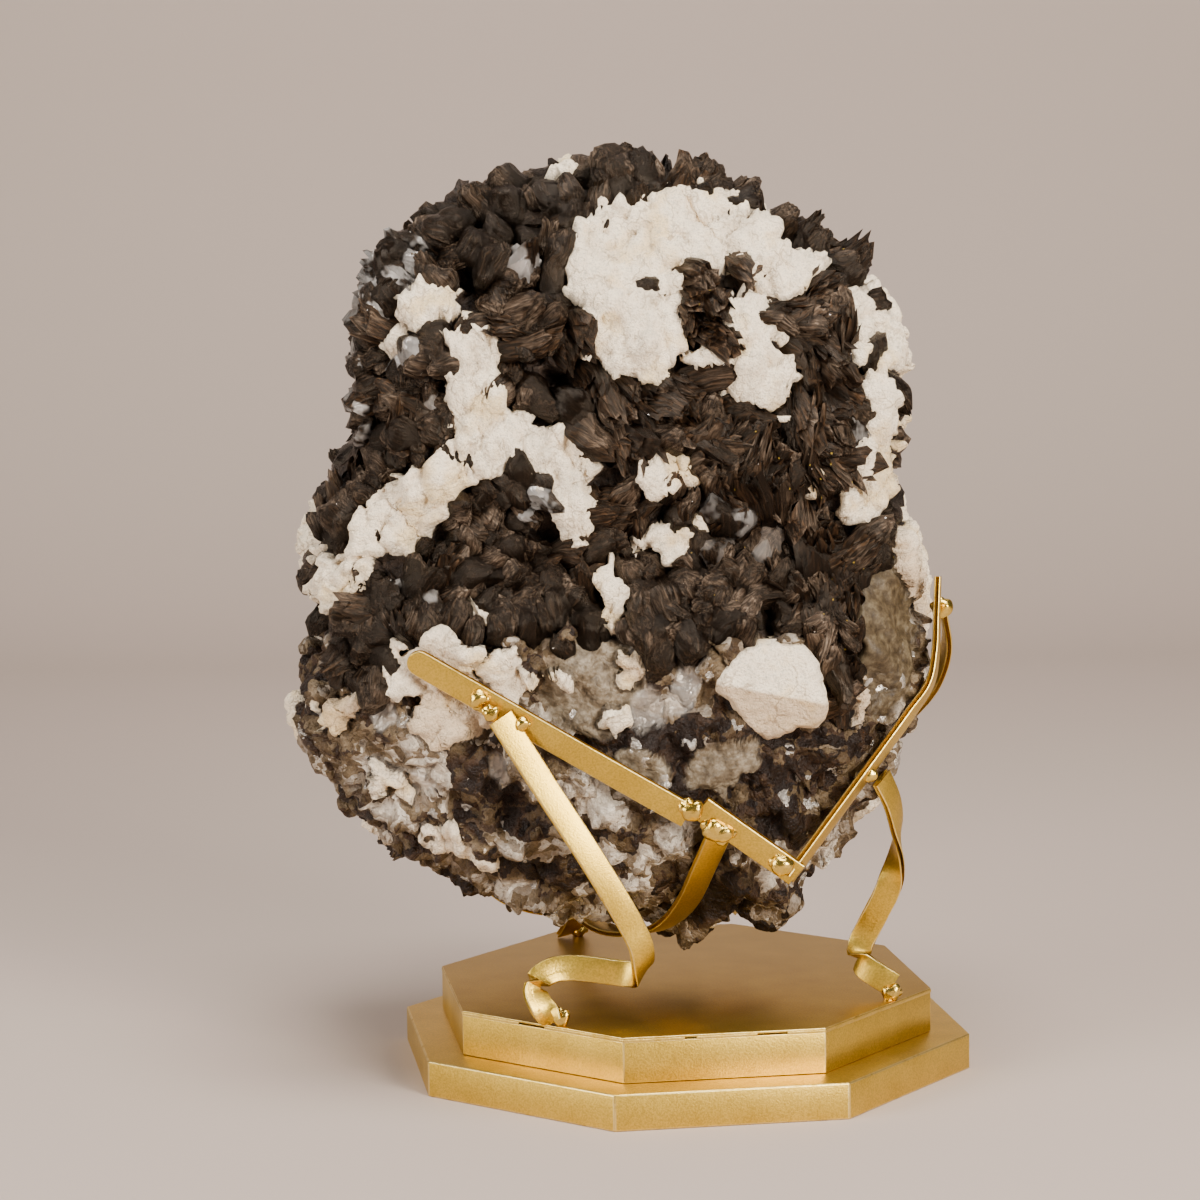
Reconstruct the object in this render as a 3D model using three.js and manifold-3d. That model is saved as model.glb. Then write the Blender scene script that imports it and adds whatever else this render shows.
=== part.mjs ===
// Mica with albite on a gold-painted steel stand.
// Millimetres, +Z up, -Y is the front. The origin is the centre of the base's underside.
// The stand is a two-step octagonal base, three twisted legs and a cradle of flat bar.
// The specimen is one grown-together mass: mica books and albite on a broken matrix.

import * as THREE from "three";
import Module from "manifold-3d";
import { mergeVertices } from "three/addons/utils/BufferGeometryUtils.js";

const wasm = await Module();
wasm.setup();

// Driving dimensions of the stand
const BASE_CORNER_RADIUS = 150;
const BASE_TURN_DEG = 166;
const LOWER_TIER_HEIGHT = 18.2;
const UPPER_CORNER_RADIUS = 130;
const UPPER_TIER_HEIGHT = 20.7;
const TOP_PLATE_THICKNESS = 1.5;
const BAR_WIDTH = 12.7;
const BAR_THICKNESS = 3.2;
const GAP = 0.3;
const STONE_GAP = 0.6;
const SNAP = 0.01;

const LOWER_TIER_TOP = LOWER_TIER_HEIGHT;
const UPPER_TIER_BOTTOM = LOWER_TIER_TOP + GAP;
const UPPER_TIER_TOP = UPPER_TIER_BOTTOM + UPPER_TIER_HEIGHT;
const TOP_PLATE_BOTTOM = UPPER_TIER_TOP + GAP;
const BASE_TOP = TOP_PLATE_BOTTOM + TOP_PLATE_THICKNESS;
const HALF_BAR = BAR_WIDTH / 2;

// Driving dimensions of the specimen
const CENTRE = { x: -32, z: 262 };
const SQUARENESS = 0.5;
const BODY_DETAIL = 6;
const MATRIX_TOP = 232;
const BOOKS_SIDE = 32;
const BOOKS_BACK = 20;
const GOLDEN_ANGLE = 2.39996;

// Colours, roughness and metalness of the finishes
const GOLD_PAINT = { color: 0xb8924a, roughness: 0.38, metalness: 0.85 };
const MICA_AND_ALBITE = { color: 0x6b5a4c, roughness: 0.65, metalness: 0.0 };

// Outline of the specimen seen from the front, as [x, z], anticlockwise from its right side.
// The mica books stand a few millimetres proud of it.
const OUTLINE = [
  [120, 250], [112, 285], [112, 325], [114, 360], [104, 388], [87, 412],
  [58, 430], [30, 443], [0, 455], [-30, 461], [-68, 456], [-102, 447],
  [-132, 429], [-152, 404], [-160, 375], [-159, 346], [-170, 318], [-182, 290],
  [-187, 260], [-179, 233], [-187, 208], [-190, 184], [-180, 158], [-160, 131],
  [-136, 113], [-110, 97], [-82, 81], [-50, 80], [-20, 75], [2, 67],
  [26, 80], [54, 81], [78, 104], [95, 136], [107, 165], [117, 195],
  [122, 225],
];
// How far the front and the back stand from the middle plane, as [height, depth].
// The front has a ledge where the broken matrix comes forward under the mica.
const FRONT_DEPTH = [
  [58, 38], [68, 44], [75, 55], [82, 63], [94, 74], [116, 90], [134, 97], [160, 100],
  [232, 100], [248, 90], [268, 82], [305, 80], [345, 76], [380, 70], [412, 58], [440, 42], [470, 20],
];
const BACK_DEPTH = [
  [58, 28], [70, 38], [80, 49], [92, 53], [115, 70], [150, 84], [200, 92], [260, 94], [320, 90],
  [380, 76], [430, 50], [470, 22],
];

// Albite masses on the front, as [x, z, half width, half height, tilt in degrees, height over the body]
const FRONT_ALBITE = [
  [-30, 405, 26, 34, 10, 7], [10, 424, 34, 20, -12, 7], [42, 408, 30, 20, -25, 6],
  [-22, 372, 24, 17, 0, 5], [26, 374, 18, 14, -50, 4], [40, 347, 17, 14, 40, 4],
  [-101, 360, 13, 26, -15, 5], [-92, 327, 20, 14, 20, 5], [-131, 296, 34, 15, 38, 5],
  [-168, 257, 17, 14, 10, 7], [-122, 388, 18, 11, 10, 4], [-58, 318, 17, 20, -10, 5],
  [-58, 288, 18, 12, 20, 5], [-4, 310, 17, 13, -10, 7], [-4, 273, 18, 8, 10, 4],
  [69, 303, 9, 8, 0, 4], [-34, 252, 7, 18, 5, 4], [97, 372, 13, 24, 10, 5], [97, 336, 11, 20, 0, 5],
  [94, 302, 12, 22, -10, 5], [112, 262, 8, 16, 0, 4],
];
// Albite blocks on the broken matrix low on the front, in the same terms
const LOW_ALBITE = [
  [42, 206, 27, 15, -8, 9], [48, 186, 24, 11, -8, 4], [-122, 218, 27, 18, 15, 8],
  [-84, 216, 15, 16, -20, 7], [-112, 192, 24, 14, 20, 5], [-166, 206, 14, 18, -20, 6],
  [-150, 150, 22, 15, -30, 5], [-106, 118, 20, 14, -30, 5], [-52, 142, 20, 30, 20, 4],
  [-8, 120, 20, 18, -30, 4], [30, 120, 16, 12, 30, 3],
];

// Albite on the back, in the same terms
const BACK_ALBITE = [
  [-80, 380, 34, 26, 20, 7], [20, 400, 30, 22, -20, 7], [60, 330, 26, 34, 10, 8],
  [-120, 300, 30, 30, 0, 7], [-20, 300, 34, 26, 30, 8], [80, 240, 24, 30, 0, 7],
  [-150, 200, 24, 30, 10, 7], [-60, 210, 36, 26, -15, 8], [20, 180, 34, 28, 10, 8],
  [-100, 130, 30, 22, -30, 6], [-20, 110, 26, 18, 0, 5], [60, 130, 24, 20, 20, 5],
];

// Mica books that stand out in the front view, as
// [x, z, pointing angle in degrees, length, width, lift in degrees]
const FRONT_BOOKS = [
  [-28, 452, 95, 34, 20, 10], [-8, 448, 60, 26, 15, 10], [14, 444, 70, 24, 15, 10],
  [34, 436, 55, 30, 17, 15], [70, 424, 40, 26, 12, 10], [88, 410, 15, 30, 20, 15],
  [-56, 446, 110, 28, 18, 15], [-84, 440, 125, 30, 20, 15], [-112, 430, 130, 28, 20, 15],
  [-138, 414, 150, 26, 20, 15], [-152, 388, 165, 24, 20, 15], [-60, 412, 85, 44, 15, 15],
  [-90, 410, 60, 34, 20, 30], [-118, 404, 120, 30, 18, 25], [-76, 384, 20, 40, 18, 20],
  [-96, 382, 200, 34, 14, 20], [-60, 360, -70, 36, 22, 25], [-38, 352, -60, 38, 18, 25],
  [-16, 340, -50, 44, 18, 25], [16, 354, 12, 48, 18, 20], [-30, 330, -75, 40, 15, 25],
  [10, 390, -80, 28, 24, 35], [36, 380, 10, 32, 12, 20], [64, 384, 30, 30, 14, 20],
  [82, 380, 80, 34, 22, 20], [96, 366, 95, 28, 18, 15], [66, 352, 120, 40, 18, 20],
  [84, 340, -40, 40, 20, 20], [50, 332, 88, 46, 18, 20], [52, 300, -85, 46, 18, 20],
  [76, 316, -60, 38, 16, 20], [20, 330, -30, 30, 16, 20], [24, 296, -20, 34, 16, 20],
  [-30, 296, 60, 34, 16, 25], [-122, 366, 170, 30, 18, 20], [-134, 340, 150, 30, 20, 20],
  [-150, 318, 140, 28, 20, 25], [-166, 290, 130, 28, 20, 20], [-96, 300, 60, 36, 14, 25],
  [-78, 310, 100, 34, 18, 25], [-70, 300, -40, 38, 14, 25], [-84, 272, 80, 32, 22, 35],
  [-64, 256, 90, 28, 20, 40], [-108, 262, 100, 26, 18, 35], [-146, 240, 100, 32, 24, 30],
  [-122, 236, 80, 28, 20, 35], [-40, 276, 40, 30, 18, 35], [10, 276, 95, 30, 22, 35],
  [34, 258, 50, 40, 18, 30], [56, 254, 30, 40, 24, 30], [82, 262, 35, 34, 16, 20],
  [-20, 236, -80, 36, 18, 25], [22, 236, 60, 34, 16, 30], [96, 236, -95, 44, 14, 15],
  [78, 222, -92, 40, 12, 15], [-88, 240, 95, 28, 18, 35],
];

// A repeatable number from 0 to 1 for a whole number and a stream
function noise(index, stream) {
  const wave = Math.sin(index * 127.1 + stream * 311.7) * 43758.5453;
  return wave - Math.floor(wave);
}

// Linear reading of a [position, value] list
function readAt(list, position) {
  if (position <= list[0][0]) return list[0][1];
  for (let i = 1; i < list.length; i++) {
    const [p0, v0] = list[i - 1];
    const [p1, v1] = list[i];
    if (position <= p1) return v0 + ((v1 - v0) * (position - p0)) / (p1 - p0);
  }
  return list[list.length - 1][1];
}

// Radius of the outline from the centre, for an angle in radians
const OUTLINE_POLAR = OUTLINE.map(([x, z]) => {
  const angle = Math.atan2(z - CENTRE.z, x - CENTRE.x);
  return [(angle + 2 * Math.PI) % (2 * Math.PI), Math.hypot(x - CENTRE.x, z - CENTRE.z)];
}).sort((a, b) => a[0] - b[0]);

function outlineRadius(angle) {
  const turn = 2 * Math.PI;
  const wrapped = ((angle % turn) + turn) % turn;
  const first = OUTLINE_POLAR[0];
  const last = OUTLINE_POLAR[OUTLINE_POLAR.length - 1];
  return readAt([[last[0] - turn, last[1]], ...OUTLINE_POLAR, [first[0] + turn, first[1]]], wrapped);
}

// Crags over the body: broad swells, folded ridges and, low down, the lumps of the broken matrix
function lumps(x, y, z) {
  const broad = Math.sin(x * 0.051 + z * 0.043) * Math.cos(z * 0.063 - y * 0.057 + 1.3);
  const ridges = Math.abs(Math.sin(x * 0.062 + z * 0.047 + 1)) + Math.abs(Math.sin(y * 0.07 - z * 0.055 + 2));
  const fine = Math.sin(x * 0.19 + 2.1) * Math.sin(z * 0.23 + y * 0.17) * Math.cos(y * 0.21 - x * 0.11);
  return 2.5 * broad + 4.5 * (ridges - 1.2) + (z < MATRIX_TOP ? 3.6 : 2) * fine;
}

// A point of the body: angle round the front view, share of the outline's radius,
// and side, -1 for the front and 1 for the back
function bodyPoint(angle, share, side) {
  const radius = outlineRadius(angle) * share;
  const x = CENTRE.x + radius * Math.cos(angle);
  const z = CENTRE.z + radius * Math.sin(angle);
  const level = Math.pow(Math.max(0, 1 - Math.pow(share, 2 / SQUARENESS)), SQUARENESS / 2);
  const depth = readAt(side < 0 ? FRONT_DEPTH : BACK_DEPTH, z);
  return new THREE.Vector3(x, side * depth * level, z);
}

// The outward direction of the smooth body there
function bodyNormal(angle, share, side) {
  const step = 0.02;
  const inner = Math.min(share, 1 - 2 * step);
  const a = bodyPoint(angle, inner, side);
  const b = bodyPoint(angle, inner + step, side).sub(a);
  const c = bodyPoint(angle + step, Math.max(inner, step), side).sub(
    bodyPoint(angle - step, Math.max(inner, step), side),
  );
  const normal = b.cross(c).normalize();
  const out = new THREE.Vector3(a.x - CENTRE.x, a.y, a.z - CENTRE.z);
  return normal.dot(out) < 0 ? normal.negate() : normal;
}

function bodyPointWithLumps(angle, share, side) {
  const p = bodyPoint(angle, share, side);
  return p.addScaledVector(bodyNormal(angle, share, side), lumps(p.x, p.y, p.z));
}

// The angle and share of a front-view point, for placing things by x and z
function onOutline(x, z) {
  const angle = Math.atan2(z - CENTRE.z, x - CENTRE.x);
  const share = Math.hypot(x - CENTRE.x, z - CENTRE.z) / outlineRadius(angle);
  return { angle, share: Math.min(share, 0.995) };
}

// Solids from geometries and back
function solidOf(geometry) {
  const plain = new THREE.BufferGeometry().setAttribute("position", geometry.getAttribute("position"));
  if (geometry.index) plain.setIndex(geometry.index);
  const merged = mergeVertices(plain, 1e-3);
  return new wasm.Manifold(
    new wasm.Mesh({
      numProp: 3,
      vertProperties: new Float32Array(merged.attributes.position.array),
      triVerts: new Uint32Array(merged.index.array),
    }),
  );
}

function indexedGeometryOf(solid) {
  const mesh = solid.getMesh();
  const geometry = new THREE.BufferGeometry();
  const positions = new Float32Array((mesh.vertProperties.length / mesh.numProp) * 3);
  for (let i = 0; i < positions.length / 3; i++) {
    positions.set(mesh.vertProperties.subarray(i * mesh.numProp, i * mesh.numProp + 3), i * 3);
  }
  geometry.setAttribute("position", new THREE.BufferAttribute(positions, 3));
  geometry.setIndex(new THREE.BufferAttribute(new Uint32Array(mesh.triVerts), 1));
  return geometry;
}

// Corners snapped to a grid, and the triangles that fold to a line there left out
function snapped(solid) {
  const geometry = indexedGeometryOf(solid);
  const position = geometry.getAttribute("position");
  for (let i = 0; i < position.array.length; i++) {
    position.array[i] = Math.round(position.array[i] / SNAP) * SNAP;
  }
  const merged = mergeVertices(geometry, SNAP / 4);
  const kept = [];
  const index = merged.index.array;
  for (let i = 0; i < index.length; i += 3) {
    const [a, b, c] = index.subarray(i, i + 3);
    if (a !== b && b !== c && c !== a) kept.push(a, b, c);
  }
  merged.setIndex(kept);
  return largestPiece(solidOf(merged));
}

function geometryOf(solid) {
  const faceted = indexedGeometryOf(solid).toNonIndexed();
  faceted.computeVertexNormals();
  return faceted;
}

function largestPiece(solid) {
  const pieces = solid.decompose();
  return pieces.reduce((best, piece) => (piece.volume() > best.volume() ? piece : best));
}

// A closed skin over rings of points, with the same count in each ring, capped at both ends
function loft(rings) {
  const count = rings[0].length;
  const positions = rings.flat().flatMap((p) => [p.x, p.y, p.z]);
  const index = [];
  for (let r = 0; r + 1 < rings.length; r++) {
    for (let i = 0; i < count; i++) {
      const a = r * count + i;
      const b = r * count + ((i + 1) % count);
      index.push(a, b, a + count, b, b + count, a + count);
    }
  }
  const last = (rings.length - 1) * count;
  for (let i = 1; i + 1 < count; i++) {
    index.push(0, i + 1, i);
    index.push(last, last + i, last + i + 1);
  }
  const geometry = new THREE.BufferGeometry();
  geometry.setAttribute("position", new THREE.Float32BufferAttribute(positions, 3));
  geometry.setIndex(index);
  return geometry;
}

// Base
function octagon(cornerRadius, height) {
  const shape = new THREE.Shape();
  for (let i = 0; i < 8; i++) {
    const angle = THREE.MathUtils.degToRad(BASE_TURN_DEG + i * 45);
    const corner = [cornerRadius * Math.cos(angle), cornerRadius * Math.sin(angle)];
    if (i === 0) shape.moveTo(...corner);
    else shape.lineTo(...corner);
  }
  shape.closePath();
  return new THREE.ExtrudeGeometry(shape, { depth: height, bevelEnabled: false });
}

// Flat bar: a station is a place on the centre line and the direction of the bar's width there
function station(at, across) {
  return { at: new THREE.Vector3(...at), across: new THREE.Vector3(...across).normalize() };
}

// The four corners of the bar's section at each step along it. grow widens them all round.
function barRings(stations, steps, roundTip, grow) {
  const centre = new THREE.CatmullRomCurve3(stations.map((s) => s.at), false, "centripetal");
  const across = new THREE.CatmullRomCurve3(stations.map((s) => s.across), false, "catmullrom");
  const length = centre.getLength();
  const tip = roundTip ? HALF_BAR / length : 0;
  const shares = roundTip ? [0.02 * tip, 0.2 * tip, 0.5 * tip] : [];
  for (let i = 0; i <= steps; i++) shares.push(tip + (i / steps) * (1 - tip));
  return shares.map((share, index) => {
    const t = centre.getUtoTmapping(share);
    const at = centre.getPoint(t);
    const along = centre.getTangent(t);
    if (index === 0) at.addScaledVector(along, -grow);
    if (index === shares.length - 1) at.addScaledVector(along, grow);
    const wide = across.getPoint(t);
    wide.addScaledVector(along, -wide.dot(along)).normalize();
    const thin = new THREE.Vector3().crossVectors(along, wide).normalize();
    const narrow = share < tip ? Math.sqrt(1 - (1 - share / tip) ** 2) : 1;
    const w = HALF_BAR * narrow + grow;
    const h = BAR_THICKNESS / 2 + grow;
    return [[w, h], [-w, h], [-w, -h], [w, -h]].map(([a, b]) =>
      at.clone().addScaledVector(wide, a).addScaledVector(thin, b),
    );
  });
}

function bar({ stations, steps, roundTip = false }, grow = 0) {
  return solidOf(loft(barRings(stations, steps, roundTip, grow)));
}

// Centre lines of the flat bars. The cradle comes first, then the legs.
const BARS = {
  bar_right: {
    steps: 14,
    stations: [
      station([127.3, -57.5, 255], [0.14, 0.99, 0]),
      station([126.5, -59.5, 236.5], [0.16, 0.98, 0]),
      station([125.8, -61.5, 219], [0.2, 0.97, -0.05]),
      station([122.5, -65.5, 203], [0.26, 0.95, -0.15]),
      station([112.5, -70, 189], [0.32, 0.92, -0.25]),
      station([91, -80, 162.5], [0.32, 0.91, -0.25]),
      station([50.5, -95.5, 112], [0.32, 0.91, -0.25]),
    ],
  },
  bar_front_left: {
    steps: 3,
    roundTip: true,
    stations: [
      station([-132.5, -103, 224.5], [0.5, -0.2, 0.84]),
      station([-60, -105, 181.5], [0.5, -0.2, 0.84]),
      station([1, -105, 145.5], [0.5, -0.2, 0.84]),
    ],
  },
  bar_front_middle: {
    steps: 2,
    stations: [
      station([7.5, -105, 149.5], [0.56, -0.25, 0.79]),
      station([30, -101.5, 132.5], [0.56, -0.25, 0.79]),
      station([54, -98, 114.5], [0.56, -0.25, 0.79]),
    ],
  },
  bar_back: {
    steps: 30,
    roundTip: true,
    stations: [
      station([-160, 66, 172], [0.15, 0.95, 0.2]),
      station([-139, 70, 132], [0.2, 0.95, 0.15]),
      station([-113, 66, 92], [0.2, 0.95, 0.1]),
      station([-96, 61, 73], [0.1, 0.97, 0.1]),
      station([-80, 58, 66.5], [0, 0.98, 0.1]),
      station([-62, 56, 65.5], [-0.05, 0.97, 0.15]),
      station([-46, 57, 69], [-0.1, 0.9, 0.35]),
      station([-10, 62, 86], [-0.2, 0.75, 0.6]),
      station([45, 69, 115], [-0.3, 0.6, 0.75]),
      station([88, 60, 143], [-0.25, 0.45, 0.85]),
      station([110, 30, 168], [-0.18, 0.45, 0.85]),
      station([121.5, 2, 183], [-0.16, 0.56, 0.76]),
      station([130.5, -20, 200], [-0.12, 0.75, 0.62]),
      station([134, -36, 219], [-0.1, 0.85, 0.5]),
      station([131, -45, 237], [-0.08, 0.92, 0.4]),
    ],
  },
  strap_under: {
    steps: 20,
    stations: [
      station([15.8, -101, 134], [0.76, 0.54, -0.36]),
      station([9.5, -84, 115.9], [0.7, 0.6, -0.34]),
      station([1.8, -62, 94.2], [0.66, 0.68, -0.33]),
      station([-6, -46, 81.5], [0.62, 0.74, -0.2]),
      station([-15, -34, 74], [0.6, 0.78, -0.1]),
      station([-31, -12, 67.8], [0.58, 0.8, 0]),
      station([-42, 6, 66.8], [0.6, 0.78, 0]),
      station([-48, 22, 69], [0.7, 0.7, 0.05]),
      station([-51, 34, 75.5], [0.84, 0.52, 0.05]),
      station([-51, 43, 88], [0.92, 0.38, 0.05]),
    ],
  },
  leg_front_left: {
    steps: 32,
    stations: [
      station([-88.6, -110, 195.2], [0.8, 0.32, 0.5]),
      station([-67.3, -111, 160.6], [0.79, 0.35, 0.51]),
      station([-45.4, -112, 125.6], [0.79, 0.34, 0.51]),
      station([-32.1, -110, 102.4], [0.84, 0.25, 0.47]),
      station([-26, -108, 90.5], [0.88, 0.32, 0.36]),
      station([-22.2, -106, 81], [0.87, 0.42, 0.25]),
      station([-21.4, -102.5, 71.4], [0.76, 0.45, 0.46]),
      station([-23, -96.5, 65.2], [0.45, 0.4, 0.8]),
      station([-29, -91.5, 64.4], [0.1, 0.2, 0.97]),
      station([-36.5, -89.5, 65], [0, 0.05, 1]),
      station([-47, -88.5, 66.3], [0, 0.15, 0.98]),
      station([-57.5, -88, 67], [0, 0.25, 0.96]),
      station([-65.5, -89, 66.2], [0.1, 0.45, 0.88]),
      station([-72, -92.3, 63], [0.25, 0.6, 0.75]),
      station([-74.4, -96, 58], [0.5, 0.7, 0.5]),
      station([-71, -99.2, 50.5], [0.75, 0.4, 0.25]),
      station([-65, -99.6, BASE_TOP + 2.2], [0.8, -0.57, 0]),
    ],
  },
  leg_right: {
    steps: 26,
    stations: [
      station([97.5, -75, 157.5], [0.5, 0.54, 0.67]),
      station([103.2, -69, 144.7], [0.54, 0.74, 0.4]),
      station([106, -63, 133], [0.42, 0.89, 0.2]),
      station([107, -58, 124.3], [0.1, 0.99, 0]),
      station([106.3, -54, 110.9], [-0.51, 0.85, 0.14]),
      station([102.6, -51, 96.3], [-0.95, 0.15, 0.15]),
      station([97.3, -48, 84.5], [-0.97, 0, 0.23]),
      station([93, -45, 73.3], [-0.85, 0.2, 0.45]),
      station([90.4, -44.5, 65.5], [-0.5, 0.3, 0.8]),
      station([90, -47, 60], [-0.12, 0.3, 0.95]),
      station([93, -51, 56], [0, 0.2, 0.98]),
      station([99, -53.5, 51.8], [0.15, 0.15, 0.97]),
      station([105, -55, BASE_TOP + HALF_BAR + 0.9], [0.15, 0.1, 0.98]),
    ],
  },
  leg_back: {
    steps: 8,
    stations: [
      station([-53.5, 66, 62.5], [0.75, 0.66, 0]),
      station([-54, 74, 60], [0.75, 0.66, 0]),
      station([-56, 85, 54], [0.75, 0.66, 0]),
      station([-58.5, 93, 47.5], [0.78, 0.62, 0]),
      station([-60.5, 98.5, BASE_TOP + 2.2], [0.8, 0.6, 0]),
    ],
  },
};

// Weld beads, as [x, y, z, radius], by the bar they belong to
const WELDS = {
  bar_front_left: [[3, -107, 148, 5], [-99, -107.5, 204, 4]],
  bar_front_middle: [[47, -101, 119.5, 5]],
  strap_under: [[14.5, -104, 138.5, 5.5], [18.5, -104, 136.5, 4.5], [-50, 48, 76, 5]],
  leg_front_left: [[-93, -110, 197, 3.6], [-78, -110, 192, 3], [-61, -100.5, BASE_TOP + 4, 3.6]],
  leg_right: [[91.5, -81, 160, 3.2], [103.5, -56.5, BASE_TOP + 4, 4.4]],
  leg_back: [[-54, 65, 63, 4.5], [-54, 100, BASE_TOP + 3.6, 4]],
  bar_back: [[130.5, -49, 238, 4.5]],
};

const root = new THREE.Group();

function addNode(name, geometry, finish) {
  const mesh = new THREE.Mesh(geometry, new THREE.MeshStandardMaterial(finish));
  mesh.name = name;
  root.add(mesh);
}

function plate(name, cornerRadius, height, bottom) {
  const geometry = octagon(cornerRadius, height);
  geometry.translate(0, 0, bottom);
  addNode(name, geometry, GOLD_PAINT);
}

plate("base_lower_tier", BASE_CORNER_RADIUS, LOWER_TIER_HEIGHT, 0);
plate("base_upper_tier", UPPER_CORNER_RADIUS, UPPER_TIER_HEIGHT, UPPER_TIER_BOTTOM);
plate("base_top_plate", UPPER_CORNER_RADIUS, TOP_PLATE_THICKNESS, TOP_PLATE_BOTTOM);

// A slightly flattened, uneven bead
function bead([x, y, z, radius], index) {
  const geometry = new THREE.DodecahedronGeometry(1.05 * radius);
  geometry.scale(1, 0.8, 0.9 + 0.3 * noise(index, 1));
  geometry.rotateY(index * 1.3);
  geometry.translate(x, y, z);
  return solidOf(geometry);
}

// Everything under this height is kept clear for the base
function baseClearance() {
  const block = new THREE.BoxGeometry(400, 400, 60);
  block.translate(0, 0, BASE_TOP + GAP - 30);
  return solidOf(block);
}

// A bar and its beads, grown by a gap kept round them
function clearanceOf(name, gap) {
  const beads = (WELDS[name] ?? []).map(([x, y, z, radius], i) =>
    bead([x, y, z, radius + 1.5 * gap], i + name.length),
  );
  return [bar(BARS[name], gap), ...beads];
}

// The bars with their beads, each trimmed clear of the ones before it
const grown = [baseClearance()];
for (const name of Object.keys(BARS)) {
  let solid = bar(BARS[name]);
  (WELDS[name] ?? []).forEach((weld, i) => {
    solid = solid.add(bead(weld, i + name.length));
  });
  for (const other of grown) solid = solid.subtract(other);
  grown.push(...clearanceOf(name, GAP));
  addNode(name, geometryOf(snapped(solid)), GOLD_PAINT);
}

// Specimen
function bodySolid() {
  const geometry = mergeVertices(
    new THREE.BufferGeometry().setAttribute(
      "position",
      new THREE.IcosahedronGeometry(1, BODY_DETAIL).getAttribute("position"),
    ),
    1e-4,
  );
  const position = geometry.getAttribute("position");
  for (let i = 0; i < position.count; i++) {
    const angle = Math.atan2(position.getZ(i), position.getX(i));
    const share = Math.pow(Math.min(1, Math.hypot(position.getX(i), position.getZ(i))), SQUARENESS);
    const p = bodyPointWithLumps(angle, share, position.getY(i) < 0 ? -1 : 1);
    position.setXYZ(i, p.x, p.y, p.z);
  }
  return solidOf(geometry);
}

// A place on the body with the directions a book or a lump needs there.
// heading is the angle in the front view of the way it points.
function placeOn(angle, share, side, heading) {
  const at = bodyPointWithLumps(angle, share, side);
  const normal = bodyNormal(angle, share, side);
  const along = new THREE.Vector3(Math.cos(heading), 0, Math.sin(heading));
  along.addScaledVector(normal, -along.dot(normal)).normalize();
  return { at, normal, along };
}

// A mica book: a tongue of stacked sheets with a narrow root and a lobed, thinner tip
const BOOK_OUTLINE = [[0, -0.32], [0.7, -0.5], [1, -0.1], [0.8, 0.45], [0, 0.3]];
const BOOK_TIP_THICKNESS = 0.4;

function bookSolid({ at, normal, along }, length, width, thickness, lift, roll) {
  const ahead = along.clone().applyAxisAngle(normal.clone().cross(along), -lift);
  const flat = normal.clone().addScaledVector(ahead, -normal.dot(ahead)).normalize();
  flat.applyAxisAngle(ahead, roll);
  const wide = flat.clone().cross(ahead);
  const root = at.clone().addScaledVector(ahead, -0.45 * length).addScaledVector(normal, -0.18 * width);
  const ring = (face) =>
    BOOK_OUTLINE.map(([u, v]) =>
      root
        .clone()
        .addScaledVector(ahead, u * length)
        .addScaledVector(wide, v * width)
        .addScaledVector(flat, face * 0.5 * thickness * (1 - u * (1 - BOOK_TIP_THICKNESS))),
    );
  return solidOf(loft([ring(-1), ring(1)]));
}

// An albite mass: a flattened, uneven lump lying on the body
function lumpSolid([x, z, halfWidth, halfHeight, tiltDeg, rise], side, index) {
  const { angle, share } = onOutline(x, z);
  const { at, normal, along } = placeOn(angle, share, side, THREE.MathUtils.degToRad(tiltDeg));
  const large = halfWidth + halfHeight > 56;
  const geometry = large ? new THREE.IcosahedronGeometry(1, 1) : new THREE.DodecahedronGeometry(1.05);
  geometry.rotateX(index);
  const frame = new THREE.Matrix4().makeBasis(
    along.clone().multiplyScalar(halfWidth),
    normal.clone().cross(along).multiplyScalar(halfHeight),
    normal.clone().multiplyScalar(rise + 6),
  );
  geometry.applyMatrix4(frame);
  geometry.translate(at.x - 6 * normal.x, at.y - 6 * normal.y, at.z - 6 * normal.z);
  return solidOf(geometry);
}

// The hand-placed books of the front
function frontBooks() {
  const radians = THREE.MathUtils.degToRad;
  return FRONT_BOOKS.map(([x, z, heading, length, width, lift], i) => {
    const { angle, share } = onOutline(x, z);
    const place = placeOn(angle, share, -1, radians(heading));
    return bookSolid(place, length, width, 0.5 * width, radians(lift), radians(70 * (noise(i, 2) - 0.5)));
  });
}

// Books scattered round the sides and the top, pointing outward
function sideBooks() {
  const books = [];
  for (let i = 0; i < BOOKS_SIDE; i++) {
    const angle = (2 * Math.PI * (i + 0.5 * noise(i, 3))) / BOOKS_SIDE;
    const side = i % 3 === 0 ? -1 : 1;
    const share = 0.93 + 0.065 * noise(i, 4);
    const z = bodyPoint(angle, share, side).z;
    if (z < MATRIX_TOP - 20) continue;
    const place = placeOn(angle, share, side, angle + 1.2 * (noise(i, 5) - 0.5));
    const length = 24 + 14 * noise(i, 6);
    const width = 14 + 8 * noise(i, 7);
    books.push(bookSolid(place, length, width, 0.5 * width, 0.5, 1.5 * (noise(i, 8) - 0.5)));
  }
  return books;
}

// Books scattered over the back in a spiral
function backBooks() {
  const books = [];
  for (let i = 0; i < BOOKS_BACK; i++) {
    const share = 0.88 * Math.sqrt((i + 0.5) / BOOKS_BACK);
    const angle = i * GOLDEN_ANGLE;
    const place = placeOn(angle, share, 1, 1.6 + 1.8 * (noise(i, 9) - 0.5));
    const length = 30 + 14 * noise(i, 10);
    const width = 16 + 8 * noise(i, 11);
    books.push(bookSolid(place, length, width, 0.5 * width, 0.4, 1.2 * (noise(i, 12) - 0.5)));
  }
  return books;
}

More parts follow.
